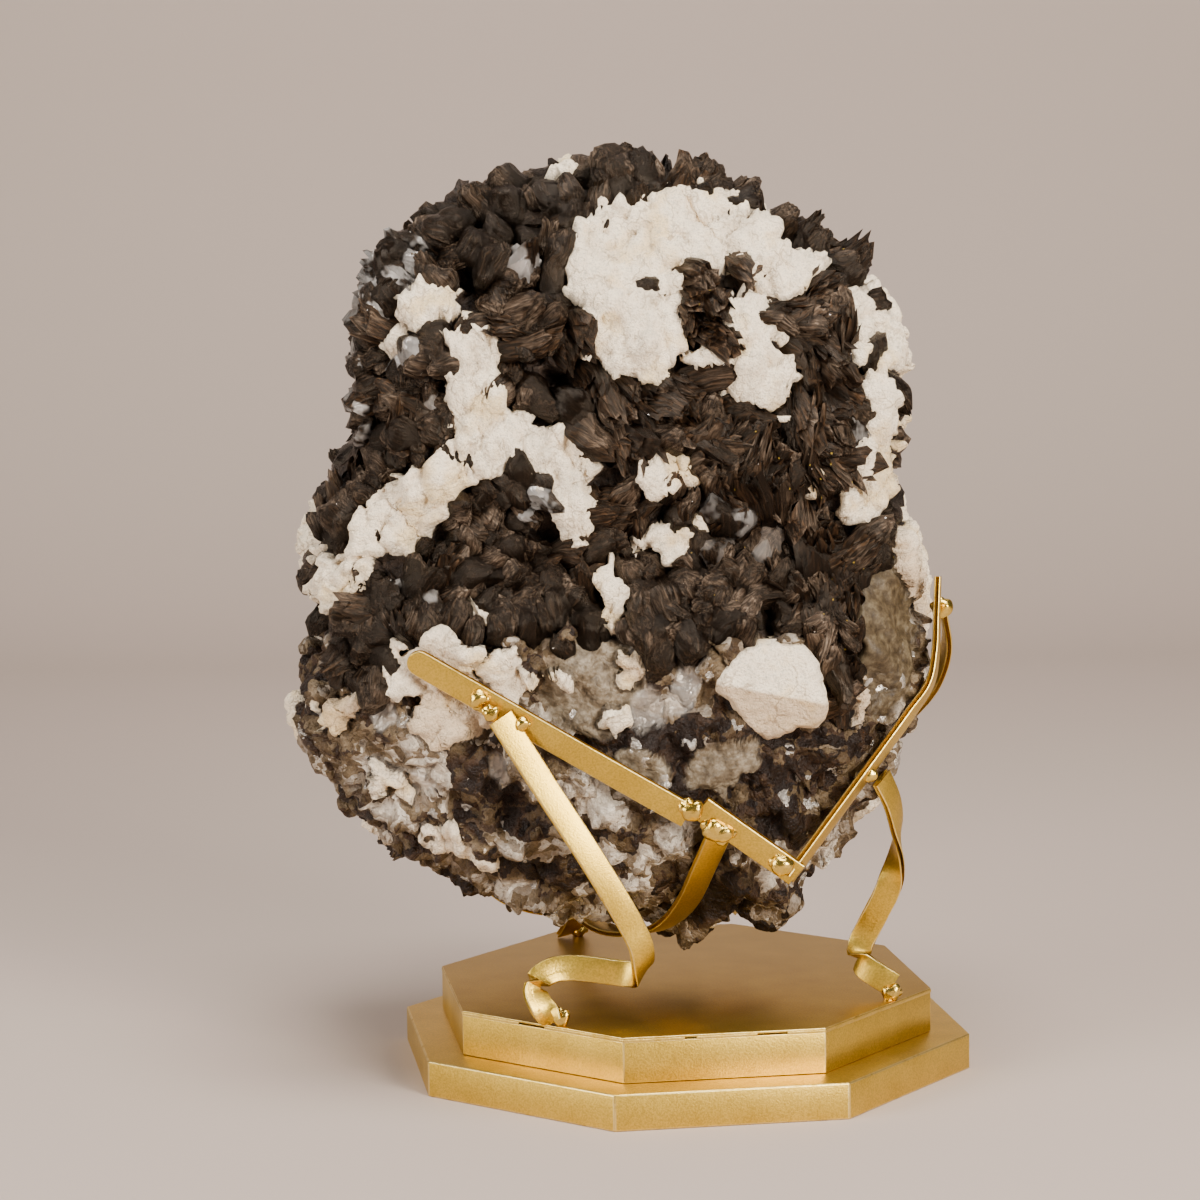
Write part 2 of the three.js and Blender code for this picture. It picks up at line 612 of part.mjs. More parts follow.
function specimenSolid() {
  let solid = bodySolid();
  [...FRONT_ALBITE, ...LOW_ALBITE].forEach((mass, i) => {
    solid = solid.add(lumpSolid(mass, -1, i));
  });
  BACK_ALBITE.forEach((mass, i) => {
    solid = solid.add(lumpSolid(mass, 1, i));
  });
  for (const book of [...frontBooks(), ...sideBooks(), ...backBooks()]) solid = solid.add(book);
  for (const name of Object.keys(BARS)) {
    for (const cutter of clearanceOf(name, STONE_GAP)) {
      solid = solid.subtract(cutter);
    }
  }
  return solid;
}

addNode("specimen", geometryOf(snapped(specimenSolid())), MICA_AND_ALBITE);

export default root;
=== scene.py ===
"""Mica with albite on a gold-painted stand.

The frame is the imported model. Sizes here are in millimetres and go to metres when a mesh is made.
-Y is the front. The stone is one grown-together mass that lies in a cradle of welded flat bar.
"""

import itertools
import math

import bmesh
import bpy
import numpy as np
from mathutils import Matrix, Vector


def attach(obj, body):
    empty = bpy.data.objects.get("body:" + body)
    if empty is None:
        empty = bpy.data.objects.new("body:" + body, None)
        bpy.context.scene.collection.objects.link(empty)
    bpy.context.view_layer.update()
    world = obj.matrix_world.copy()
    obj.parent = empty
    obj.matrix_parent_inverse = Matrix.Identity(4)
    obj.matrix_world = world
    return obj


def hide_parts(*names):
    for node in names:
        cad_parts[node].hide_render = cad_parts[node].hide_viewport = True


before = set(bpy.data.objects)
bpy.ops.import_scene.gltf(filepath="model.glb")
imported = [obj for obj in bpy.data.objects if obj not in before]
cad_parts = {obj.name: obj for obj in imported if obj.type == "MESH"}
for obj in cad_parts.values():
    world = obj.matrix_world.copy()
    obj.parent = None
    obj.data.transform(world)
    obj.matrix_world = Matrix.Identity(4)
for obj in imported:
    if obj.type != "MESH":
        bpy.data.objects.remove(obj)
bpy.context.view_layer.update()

MM = 0.001

# Camera, fitted to the corners of the eight-sided base in the photograph
CAMERA_AT = (-0.040, -1.672, 0.437)
CAMERA_PITCH = 0.1181
CAMERA_ROLL = -0.0129
CAMERA_LENS = 98.55

# Backdrop, in metres
BACKDROP_FRONT = -4.0
BACKDROP_BACK = 1.5
BACKDROP_CURVE = 0.6
BACKDROP_STEPS = 8
BACKDROP_HALF_WIDTH = 4.0
WALL_TOP = 4.0

# Base
BASE_CORNER_RADIUS = 150
BASE_TURN_DEG = 166
LOWER_TIER_TOP = 18.2
UPPER_CORNER_RADIUS = 130
UPPER_TIER_BOTTOM = 18.5
UPPER_TIER_TOP = 39.0
TOP_PLATE_BOTTOM = 39.8
BASE_TOP = 41.0
# How strongly the rounded edges of the base get the painted highlight of paler gold
EDGE_HIGHLIGHT = 0.8
SEAM_SLITS = {1: [(0.36, 0.52)], 2: [(0.30, 0.36), (0.66, 0.81)]}

# Flat bar of the cradle and the legs
HALF_BAR = 6.35
HALF_THICKNESS = 1.6
BAR_EDGE_RADIUS = 0.7
BAR_STEP = 2.0
ROUND_TIPPED = {"bar_front_left", "bar_back"}

# Body of the stone
CENTRE_X = -32
CENTRE_Z = 262
SQUARENESS = 0.5
MATRIX_TOP = 232
GRID = 300
BODY_RADIUS = 170
BODY_DEPTH = 90

# Cell sizes of the broken faces and of the albite's relief, largest first
CHIP_CELLS = (24, 10.5, 4.4)
PUFF_CELLS = (14, 6.0, 3.0)
# Room kept between the stone and the bars, and how many points are fitted at a time
BAR_ROOM = 1.2
FITTED_AT_ONCE = 20000
BAR_PLACES_AT_ONCE = 60

# Outline of the stone from the front, as [x, z], anticlockwise from its right side
OUTLINE = [
    [120, 250], [112, 285], [112, 325], [114, 360], [104, 388], [87, 412],
    [58, 430], [30, 443], [0, 455], [-30, 461], [-68, 456], [-102, 447],
    [-132, 429], [-152, 404], [-160, 375], [-159, 346], [-170, 318], [-182, 290],
    [-187, 260], [-179, 233], [-187, 208], [-190, 184], [-180, 158], [-160, 131],
    [-136, 113], [-110, 97], [-82, 81], [-50, 80], [-20, 75], [2, 67],
    [26, 80], [54, 81], [78, 104], [95, 136], [107, 165], [117, 195],
    [122, 225],
]
# How far the front and the back stand from the middle plane, as [height, depth]
FRONT_DEPTH = [
    [58, 38], [68, 44], [75, 55], [82, 63], [94, 74], [116, 90], [134, 97], [160, 100],
    [232, 100], [248, 90], [268, 82], [305, 80], [345, 76], [380, 70], [412, 58], [440, 42], [470, 20],
]
BACK_DEPTH = [
    [58, 28], [70, 38], [80, 49], [92, 53], [115, 70], [150, 84], [200, 92], [260, 94], [320, 90],
    [380, 76], [430, 50], [470, 22],
]

# Albite masses on the front, as [x, z, half width, half height, tilt in degrees]
FRONT_ALBITE = [
    [-30, 405, 27, 36, 10], [10, 426, 36, 19, -12], [44, 410, 29, 19, -25], [-14, 396, 16, 20, 0],
    [-22, 372, 26, 19, 0], [34, 380, 16, 13, -50], [38, 354, 19, 17, 40], [18, 366, 12, 9, 0],
    [-124, 392, 16, 13, 10], [-142, 376, 9, 9, 0], [-101, 366, 14, 22, -15], [-96, 345, 13, 24, 0],
    [-92, 325, 24, 15, 20], [-132, 292, 38, 17, 38], [-118, 308, 18, 10, 20],
    [-168, 258, 18, 15, 10], [-58, 318, 19, 22, -10], [-54, 292, 17, 16, 20],
    [-4, 310, 18, 14, -10], [-4, 277, 19, 10, 10], [69, 303, 8, 7, 0], [52, 334, 8, 4, -10],
    [-34, 250, 6, 18, 5], [-96, 247, 7, 5, 0], [-60, 213, 7, 6, 0], [-33, 190, 5, 6, 10],
    [98, 374, 15, 26, 10], [97, 338, 12, 22, 0], [94, 304, 13, 24, -10], [114, 262, 8, 16, 0],
    [-122, 218, 27, 18, 15], [-84, 216, 15, 16, -20], [-112, 192, 24, 14, 20], [-166, 196, 9, 9, 0],
    [-52, 460, 9, 6, 0], [-20, 217, 12, 7, -10], [84, 200, 5, 12, 0],
    [-110, 126, 8, 20, 45], [-148, 160, 13, 8, -30],
]
# Albite painted darker, partly for its greyer colour and partly as painted shade on faces turned from the
# light, such as the right-hand cleavage face; and where the broken matrix is mostly white or mostly dark
DULL_AND_SHADED_ALBITE = [
    [-112, 192, 30, 20, 20], [-20, 217, 14, 9, -10], [-166, 196, 12, 12, 0], [101, 228, 26, 54, -4],
]
WHITE_MATRIX = [
    [-146, 155, 26, 18, -30], [-110, 124, 14, 24, 40], [-38, 156, 20, 25, 20], [-8, 124, 16, 22, 0],
    [-122, 188, 26, 18, 0], [40, 118, 18, 16, 0], [76, 124, 20, 16, 40],
    [-74, 92, 34, 12, -25],
]
DARK_MATRIX = [
    [-97, 150, 20, 24, -20], [-10, 174, 36, 20, -30], [36, 158, 40, 30, 0], [72, 176, 16, 34, 10],
    [-92, 116, 16, 10, -20], [14, 96, 30, 16, 0], [-128, 205, 18, 8, 0],
]
# Where the mica ends and the broken matrix starts on the front, as [x, height]
FRONT_BORDER = [
    [-200, 238], [-172, 226], [-160, 206], [-142, 202], [-130, 226], [-104, 242], [-64, 240], [-40, 236],
    [-26, 226], [-8, 220], [6, 222], [16, 234], [62, 234], [69, 196], [84, 188], [92, 212], [122, 236],
]
# Parts of the lower edge that are drawn in, each with its depth last, and deep gaps between the books
DRAWN_IN = [[104, 104, 46, 44, 0, 8], [82, 80, 40, 34, 0, 9], [-112, 80, 76, 30, -30, 7]]
HOLLOWS = [[51, 352, 10, 8, 20], [46, 285, 16, 7, 0], [-60, 350, 8, 12, 0], [-104, 410, 9, 12, 0]]

# Albite masses on the back, in the same terms
BACK_ALBITE = [
    [-84, 392, 32, 18, 25], [-60, 374, 19, 26, -10], [-94, 358, 12, 18, 0], [24, 406, 24, 12, -20],
    [48, 390, 13, 12, 0], [64, 328, 15, 34, 12], [47, 302, 20, 12, 30], [80, 354, 11, 12, 0],
    [-130, 302, 17, 30, 10], [-112, 274, 27, 11, 30], [-88, 262, 13, 9, 0], [-26, 306, 31, 11, 25],
    [-4, 320, 13, 15, 0], [86, 246, 11, 27, 0], [-152, 208, 13, 24, 10], [-64, 214, 40, 11, -12],
    [-36, 202, 13, 19, 0], [20, 188, 20, 27, 15], [44, 172, 20, 9, -20], [-106, 136, 27, 11, -30],
    [-24, 112, 20, 11, 10], [62, 134, 12, 19, 20], [-62, 160, 8, 7, 0], [2, 252, 9, 7, 0],
    [-18, 364, 8, 6, 0], [100, 292, 7, 10, 0],
]
# Smooth tan cleavage faces, and bright silvery ones whose pale metallic colour is partly a painted
# highlight, as [x, z, half width, half height, tilt in degrees]
TAN_FACES = [[-44, 208, 26, 27, 10], [101, 228, 17, 42, -4], [20, 168, 20, 13, 30], [-20, 168, 16, 12, 0]]
SILVER_AND_HIGHLIGHT_FACES = [
    [1, 206, 6, 13, -18], [-17, 197, 9, 10, 10], [-146, 195, 8, 9, 30], [-90, 168, 7, 12, 15],
    [84, 196, 3, 8, 0], [-128, 160, 6, 5, 0],
]

# Mica books that stand out in the front view, as
# [x, z, pointing angle in degrees, length, width, lift in degrees, share of silvery colour, which is partly
# a painted highlight]
FRONT_BOOKS = [
    [-28, 452, 95, 34, 20, 10], [-8, 448, 60, 26, 15, 10], [14, 444, 70, 24, 15, 10],
    [34, 436, 55, 30, 17, 15], [70, 424, 40, 26, 12, 10], [88, 410, 15, 30, 20, 15],
    [-56, 446, 110, 28, 18, 15], [-84, 440, 125, 30, 20, 15], [-112, 430, 130, 28, 20, 15],
    [-138, 414, 150, 26, 20, 15], [-152, 388, 165, 24, 20, 15], [-60, 412, 85, 44, 15, 15],
    [-90, 410, 60, 34, 20, 30], [-118, 404, 120, 30, 18, 25], [-76, 384, 20, 40, 18, 20],
    [-96, 382, 200, 34, 14, 20], [-60, 360, -70, 36, 22, 25], [-38, 352, -60, 38, 18, 25],
    [-16, 340, -50, 44, 18, 25], [16, 354, 12, 48, 18, 20], [-30, 330, -75, 40, 15, 25],
    [10, 390, -80, 28, 24, 35], [36, 380, 10, 32, 12, 20], [64, 384, 30, 30, 14, 20],
    [82, 380, 80, 34, 22, 20], [96, 366, 95, 28, 18, 15], [66, 352, 120, 40, 18, 20],
    [84, 340, -40, 40, 20, 20], [50, 332, 88, 46, 18, 20], [52, 300, -85, 46, 18, 20],
    [76, 316, -60, 38, 16, 20], [20, 330, -30, 30, 16, 20], [24, 296, -20, 34, 16, 20],
    [-30, 296, 60, 34, 16, 25], [-122, 366, 170, 30, 18, 20], [-134, 340, 150, 30, 20, 20],
    [-150, 318, 140, 28, 20, 25], [-166, 290, 130, 28, 20, 20], [-96, 300, 60, 36, 14, 25],
    [-78, 310, 100, 34, 18, 25], [-70, 300, -40, 38, 14, 25], [-84, 272, 80, 32, 22, 35],
    [-64, 256, 90, 28, 20, 40], [-108, 262, 100, 26, 18, 35], [-146, 240, 100, 32, 24, 30],
    [-122, 236, 80, 28, 20, 35], [-40, 276, 40, 30, 18, 35], [10, 276, 95, 30, 22, 35],
    [34, 258, 50, 40, 18, 30], [56, 254, 30, 40, 24, 30], [82, 262, 35, 34, 16, 20],
    [-20, 236, -80, 36, 18, 25], [22, 236, 60, 34, 16, 30], [96, 236, -95, 44, 14, 15],
    [78, 222, -92, 40, 12, 15], [-88, 240, 95, 28, 18, 35],
    [8, 402, -60, 26, 18, 30], [14, 388, -80, 30, 22, 30], [20, 376, -60, 26, 18, 30],
    [34, 403, 20, 26, 14, 25], [54, 391, 0, 36, 14, 20], [66, 380, -15, 30, 14, 25],
    [-6, 352, -35, 26, 12, 25], [6, 346, -60, 22, 12, 30], [-26, 350, -80, 24, 12, 30],
    [84, 352, -60, 40, 18, 25], [62, 340, -70, 40, 18, 25], [60, 318, 90, 50, 22, 20],
    [52, 312, 90, 46, 18, 20],
    [-158, 236, -100, 34, 24, 25], [-146, 222, -80, 32, 22, 25], [-152, 208, -100, 30, 20, 25],
    [-136, 236, -70, 30, 20, 30], [-12, 228, -90, 36, 20, 20], [2, 230, -70, 30, 18, 25],
    [76, 214, -88, 44, 16, 18], [80, 198, -95, 40, 14, 15], [84, 236, -80, 38, 18, 20],
    [-30, 456, 92, 41, 26, 62], [-14, 453, 84, 34, 22, 60], [4, 449, 75, 28, 18, 58],
    [22, 444, 70, 28, 18, 58], [36, 438, 60, 28, 16, 58], [-46, 456, 100, 24, 16, 55],
    [-146, 408, 155, 30, 22, 58, 0.7], [-156, 388, 170, 34, 22, 60, 0.6], [-153, 366, 180, 24, 20, 58],
    [-152, 346, 185, 22, 18, 55, 0.7], [-128, 424, 140, 28, 20, 55], [-100, 440, 125, 24, 18, 50],
    [72, 420, 45, 26, 16, 58], [88, 406, 40, 30, 18, 60], [100, 388, 20, 28, 14, 55],
    [-146, 392, 100, 34, 24, 20, 1.0], [-122, 340, 80, 34, 16, 25, 0.5],
    [26, 292, 100, 40, 30, 25, 0.30], [40, 276, 60, 34, 22, 25, 0.20], [18, 272, 100, 28, 24, 30, 0.25],
]
# The albite block on the front: its rim as [x, z], its middle, and the ridge between its two faces
BLOCK_RIM = [
    [67, 210], [65, 219], [61, 225], [54, 229], [46, 230], [38, 230], [31, 229], [23, 223], [17, 215],
    [15, 206], [22, 201], [27, 192], [33, 184], [41, 180], [48, 183], [55, 187], [64, 187], [68, 192],
]
BLOCK_MIDDLE = (43, 206)
BLOCK_RIDGE_Z = 205
BLOCK_RIDGE_SLOPE = -0.20
BLOCK_Y = -99.5
BLOCK_HEIGHT = 13
BLOCK_FALL = (0.30, 0.52)
BLOCK_RINGS = 26
BLOCK_TURNS = 110

SIBLINGS = 5
SIDE_BOOKS = 400
BACK_CLUSTERS = 56
FILLER_BOOKS = 330
BOOK_POINTS = 16
BOOK_SHEETS = 7
RIM_SINK = 8
ON_ALBITE = 0.05
GOLDEN_ANGLE = 2.39996

# Centre lines of the flat bars, as (place, direction of the bar's width)
BARS = {
    "bar_right": [
        ((127.3, -57.5, 255), (0.14, 0.99, 0)), ((126.5, -59.5, 236.5), (0.16, 0.98, 0)),
        ((125.8, -61.5, 219), (0.2, 0.97, -0.05)), ((122.5, -65.5, 203), (0.26, 0.95, -0.15)),
        ((112.5, -70, 189), (0.32, 0.92, -0.25)), ((91, -80, 162.5), (0.32, 0.91, -0.25)),
        ((50.5, -95.5, 112), (0.32, 0.91, -0.25)),
    ],
    "bar_front_left": [
        ((-132.5, -103, 224.5), (0.5, -0.2, 0.84)), ((-60, -105, 181.5), (0.5, -0.2, 0.84)),
        ((1, -105, 145.5), (0.5, -0.2, 0.84)),
    ],
    "bar_front_middle": [
        ((7.5, -105, 149.5), (0.56, -0.25, 0.79)), ((30, -101.5, 132.5), (0.56, -0.25, 0.79)),
        ((54, -98, 114.5), (0.56, -0.25, 0.79)),
    ],
    "bar_back": [
        ((-160, 66, 172), (0.15, 0.95, 0.2)), ((-139, 70, 132), (0.2, 0.95, 0.15)),
        ((-113, 66, 92), (0.2, 0.95, 0.1)), ((-96, 61, 73), (0.1, 0.97, 0.1)),
        ((-80, 58, 66.5), (0, 0.98, 0.1)), ((-62, 56, 65.5), (-0.05, 0.97, 0.15)),
        ((-46, 57, 69), (-0.1, 0.9, 0.35)), ((-10, 62, 86), (-0.2, 0.75, 0.6)),
        ((45, 69, 115), (-0.3, 0.6, 0.75)), ((88, 60, 143), (-0.25, 0.45, 0.85)),
        ((110, 30, 168), (-0.18, 0.45, 0.85)), ((121.5, 2, 183), (-0.16, 0.56, 0.76)),
        ((130.5, -20, 200), (-0.12, 0.75, 0.62)), ((134, -36, 219), (-0.1, 0.85, 0.5)),
        ((131, -45, 237), (-0.08, 0.92, 0.4)),
    ],
    "strap_under": [
        ((15.8, -101, 134), (0.76, 0.54, -0.36)), ((9.5, -84, 115.9), (0.7, 0.6, -0.34)),
        ((1.8, -62, 94.2), (0.66, 0.68, -0.33)), ((-6, -46, 81.5), (0.62, 0.74, -0.2)),
        ((-15, -34, 74), (0.6, 0.78, -0.1)), ((-31, -12, 67.8), (0.58, 0.8, 0)),
        ((-42, 6, 66.8), (0.6, 0.78, 0)), ((-48, 22, 69), (0.7, 0.7, 0.05)),
        ((-51, 34, 75.5), (0.84, 0.52, 0.05)), ((-51, 43, 88), (0.92, 0.38, 0.05)),
    ],
    "leg_front_left": [
        ((-88.6, -110, 195.2), (0.8, 0.32, 0.5)), ((-67.3, -111, 160.6), (0.79, 0.35, 0.51)),
        ((-45.4, -112, 125.6), (0.79, 0.34, 0.51)), ((-32.1, -110, 102.4), (0.84, 0.25, 0.47)),
        ((-26, -108, 90.5), (0.88, 0.32, 0.36)), ((-22.2, -106, 81), (0.87, 0.42, 0.25)),
        ((-21.4, -102.5, 71.4), (0.76, 0.45, 0.46)), ((-23, -96.5, 65.2), (0.45, 0.4, 0.8)),
        ((-29, -91.5, 64.4), (0.1, 0.2, 0.97)), ((-36.5, -89.5, 65), (0, 0.05, 1)),
        ((-47, -88.5, 66.3), (0, 0.15, 0.98)), ((-57.5, -88, 67), (0, 0.25, 0.96)),
        ((-65.5, -89, 66.2), (0.1, 0.45, 0.88)), ((-72, -92.3, 63), (0.25, 0.6, 0.75)),
        ((-74.4, -96, 58), (0.5, 0.7, 0.5)), ((-71, -99.2, 50.5), (0.75, 0.4, 0.25)),
        ((-65, -99.6, BASE_TOP + 2.2), (0.8, -0.57, 0)),
    ],
    "leg_right": [
        ((97.5, -75, 157.5), (0.5, 0.54, 0.67)), ((103.2, -69, 144.7), (0.54, 0.74, 0.4)),
        ((106, -63, 133), (0.42, 0.89, 0.2)), ((107, -58, 124.3), (0.1, 0.99, 0)),
        ((106.3, -54, 110.9), (-0.51, 0.85, 0.14)), ((102.6, -51, 96.3), (-0.95, 0.15, 0.15)),
        ((97.3, -48, 84.5), (-0.97, 0, 0.23)), ((92.5, -45, 74), (-0.88, 0.2, 0.40)),
        ((89.4, -44.5, 67), (-0.62, 0.3, 0.70)), ((88.4, -46.5, 61.5), (-0.30, 0.3, 0.90)),
        ((91, -50, 57), (-0.05, 0.25, 0.97)), ((97.5, -53.2, 52.8), (0.12, 0.15, 0.98)),
        ((105, -55, BASE_TOP + HALF_BAR + 0.9), (0.15, 0.1, 0.98)),
    ],
    "leg_back": [
        ((-53.5, 66, 62.5), (0.75, 0.66, 0)), ((-54, 74, 60), (0.75, 0.66, 0)),
        ((-56, 85, 54), (0.75, 0.66, 0)), ((-58.5, 93, 47.5), (0.78, 0.62, 0)),
        ((-60.5, 98.5, BASE_TOP + 2.2), (0.8, 0.6, 0)),
    ],
}
# Weld beads, as (x, y, z, radius), by the bar they belong to
WELDS = {
    "bar_right": [],
    "bar_front_left": [(3, -107, 148, 5), (-99, -107.5, 204, 4)],
    "bar_front_middle": [(47, -101, 119.5, 5)],
    "bar_back": [(130.5, -49, 238, 4.5)],
    "strap_under": [(14.5, -104, 138.5, 5.5), (18.5, -104, 136.5, 4.5), (-50, 48, 76, 5)],
    "leg_front_left": [(-93, -110, 197, 3.6), (-78, -110, 192, 3), (-61, -100.5, BASE_TOP + 4, 3.6)],
    "leg_right": [(91.5, -81, 160, 3.2), (103.5, -56.5, BASE_TOP + 4, 4.4)],
    "leg_back": [(-54, 65, 63, 4.5), (-54, 100, BASE_TOP + 3.6, 4)],
}


# Camera, floor and light
def add_camera():
    data = bpy.data.cameras.new("photo_camera")
    data.lens = CAMERA_LENS
    data.sensor_width = 36
    camera = bpy.data.objects.new("photo_camera", data)
    turn = Matrix.Rotation(math.pi / 2 - CAMERA_PITCH, 4, "X") @ Matrix.Rotation(CAMERA_ROLL, 4, "Z")
    camera.matrix_world = Matrix.Translation(CAMERA_AT) @ turn
    bpy.context.collection.objects.link(camera)
    bpy.context.scene.camera = camera


def add_backdrop():
    """A pale sweep: a floor that curves up into a wall."""
    profile = [(BACKDROP_FRONT, 0.0), (BACKDROP_BACK, 0.0)]
    for step in range(1, BACKDROP_STEPS + 1):
        turn = math.pi / 2 * step / BACKDROP_STEPS
        rise = BACKDROP_CURVE * (1 - math.cos(turn))
        profile.append((BACKDROP_BACK + BACKDROP_CURVE * math.sin(turn), rise))
    profile.append((BACKDROP_BACK + BACKDROP_CURVE, WALL_TOP))
    verts = [(side * BACKDROP_HALF_WIDTH, y, z) for y, z in profile for side in (-1, 1)]
    faces = [(2 * i, 2 * i + 1, 2 * i + 3, 2 * i + 2) for i in range(len(profile) - 1)]
    mesh = bpy.data.meshes.new("backdrop")
    mesh.from_pydata(verts, [], faces)
    mesh.shade_smooth()
    backdrop = bpy.data.objects.new("backdrop", mesh)
    bpy.context.collection.objects.link(backdrop)
    material = bpy.data.materials.new("backdrop")
    material.use_nodes = True
    paint = material.node_tree.nodes["Principled BSDF"]
    paint.inputs["Base Color"].default_value = (0.50, 0.402, 0.345, 1)
    paint.inputs["Roughness"].default_value = 0.8
    mesh.materials.append(material)


def add_area_light(name, at, towards, size, power, colour=(1, 1, 1)):
    data = bpy.data.lights.new(name, "AREA")
    data.shape = "RECTANGLE"
    data.size, data.size_y = size
    data.energy = power
    data.color = colour
    light = bpy.data.objects.new(name, data)
    light.location = at
    light.rotation_euler = (Vector(towards) - Vector(at)).to_track_quat("-Z", "Y").to_euler()
    bpy.context.collection.objects.link(light)


def add_lights():
    add_area_light("key_right", (1.25, -1.75, 0.85), (0, 0, 0.2), (0.8, 0.9), 79, (1, 0.95, 0.88))
    add_area_light("fill_left", (-1.9, -1.1, 0.9), (0, 0, 0.2), (1.2, 1.2), 50, (1, 0.97, 0.93))
    add_area_light("top", (0.1, -0.4, 1.9), (0, 0, 0.2), (0.9, 0.8), 36, (1, 0.98, 0.95))
    add_area_light("wall", (0, 1.1, 1.8), (0, 2.1, 0.5), (2.0, 0.6), 9, (1, 0.98, 0.95))
    world = bpy.data.worlds.new("studio")
    world.use_nodes = True
    background = world.node_tree.nodes["Background"]
    background.inputs["Color"].default_value = (1, 0.97, 0.94, 1)
    background.inputs["Strength"].default_value = 0.15
    bpy.context.scene.world = world


# Noise and tables
def hashed(i, j, k, seed):
    """A repeatable number from 0 to 1 for whole numbers i, j, k."""
    wave = np.sin(i * 127.1 + j * 311.7 + k * 74.7 + seed * 19.19) * 43758.5453
    return wave - np.floor(wave)


def soft_noise(points, size, seed):
    """Smooth noise from -1 to 1 with lumps about size across."""
    scaled = points / size
    low = np.floor(scaled)
    part = scaled - low
    part = part * part * (3 - 2 * part)
    total = np.zeros(len(points))
    for step in itertools.product((0, 1), repeat=3):
        weight = np.prod(np.where(np.array(step) == 1, part, 1 - part), axis=1)
        total += weight * hashed(*(low + step).T, seed)
    return 2 * total - 1


def noise_in_plane(points, size, seed):
    """Noise that moves points sideways and up or down, but not in depth."""
    still = 0 * points[:, 0]
    return np.stack([soft_noise(points, size, seed), still, soft_noise(points, size, seed + 1)], axis=1)


def noise_all_ways(points, size, seed):
    return np.stack([soft_noise(points, size, seed + k) for k in range(3)], axis=1)


def cells(points, size, seed):
    """Random cells about size across. For each point: distance from its cell's centre in cell sizes,
    the cell's own number from 0 to 1, and how far a tilted flat face through the centre stands there."""
    scaled = points / size
    home = np.floor(scaled)
    nearest = np.full(len(points), 9.0)
    number = np.zeros(len(points))
    tilt = np.zeros(len(points))
    for step in itertools.product((-1, 0, 1), repeat=3):
        cell = (home + step).T
        offset = scaled - cell.T - np.stack([hashed(*cell, seed + k) for k in range(3)], axis=1)
        distance = (offset ** 2).sum(axis=1)
        lean = np.stack([hashed(*cell, seed + 4 + k) for k in range(3)], axis=1) - 0.5
        closer = distance < nearest
        nearest = np.where(closer, distance, nearest)
        number = np.where(closer, hashed(*cell, seed + 3), number)
        tilt = np.where(closer, 1.6 * (offset * lean).sum(axis=1), tilt)
    return np.sqrt(nearest), number, tilt


def smoothstep(low, high, value):
    share = np.clip((value - low) / (high - low), 0, 1)
    return share * share * (3 - 2 * share)


def read_at(table, position):
    places, values = np.array(table, float).T
    return np.interp(position, places, values)


def number_of(index, stream):
    """The repeatable number from 0 to 1 that the solids use for a whole number and a stream."""
    wave = math.sin(index * 127.1 + stream * 311.7) * 43758.5453
    return wave - math.floor(wave)


# Surface of the stone, the same as the solid's
outline_from_centre = np.array(OUTLINE, float) - (CENTRE_X, CENTRE_Z)
OUTLINE_ANGLES = np.arctan2(outline_from_centre[:, 1], outline_from_centre[:, 0])
OUTLINE_RADII = np.hypot(outline_from_centre[:, 0], outline_from_centre[:, 1])


def outline_radius(angle):
    return np.interp(angle, OUTLINE_ANGLES, OUTLINE_RADII, period=2 * math.pi)


def lumps(p):
    x, y, z = p.T
    broad = np.sin(x * 0.051 + z * 0.043) * np.cos(z * 0.063 - y * 0.057 + 1.3)
    ridges = abs(np.sin(x * 0.062 + z * 0.047 + 1)) + abs(np.sin(y * 0.07 - z * 0.055 + 2))
    fine = np.sin(x * 0.19 + 2.1) * np.sin(z * 0.23 + y * 0.17) * np.cos(y * 0.21 - x * 0.11)
    return 2.5 * broad + 4.5 * (ridges - 1.2) + np.where(z < MATRIX_TOP, 3.6, 2) * fine


def body_point(angle, share, side):
    """Points of the smooth body: angle round the front view, share of the outline's radius,
    and side, -1 for the front and 1 for the back."""
    radius = outline_radius(angle) * share
    x = CENTRE_X + radius * np.cos(angle)
    z = CENTRE_Z + radius * np.sin(angle)
    level = np.maximum(0, 1 - share ** (2 / SQUARENESS)) ** (SQUARENESS / 2)
    depth = np.where(side < 0, read_at(FRONT_DEPTH, z), read_at(BACK_DEPTH, z))
    return np.stack([x, side * depth * level, z], axis=1)


def body_normal(angle, share, side):
    step = 0.02
    inner = np.minimum(share, 1 - 2 * step)
    middle = np.maximum(inner, step)
    a = body_point(angle, inner, side)
    b = body_point(angle, inner + step, side) - a
    c = body_point(angle + step, middle, side) - body_point(angle - step, middle, side)
    normal = np.cross(b, c)
    normal /= np.linalg.norm(normal, axis=1)[:, None]
    out = a - (CENTRE_X, 0, CENTRE_Z)
    return normal * np.where((normal * out).sum(axis=1) < 0, -1, 1)[:, None]


def body_surface(angle, share, side):
    """Points and outward directions of the body with its crags."""
    points = body_point(angle, share, side)
    normals = body_normal(angle, share, side)
    return points + normals * lumps(points)[:, None], normals


def on_outline(x, z):
    angle = math.atan2(z - CENTRE_Z, x - CENTRE_X)
    share = math.hypot(x - CENTRE_X, z - CENTRE_Z) / float(outline_radius(angle))
    return angle, min(share, 0.995)


def in_patches(points, patches):
    """For each point, how deep it is in the deepest of some slanted ellipses of the front view:
    1 at a middle, 0 at a rim, less outside."""
    depth = np.full(len(points), -9.0)
    for x, z, half_width, half_height, tilt, *_ in patches:
        turn = math.radians(tilt)
        right = points[:, 0] - x
        up = points[:, 2] - z
        across = (right * math.cos(turn) + up * math.sin(turn)) / half_width
        along = (up * math.cos(turn) - right * math.sin(turn)) / half_height
        depth = np.maximum(depth, 1 - np.hypot(across, along))
    return depth


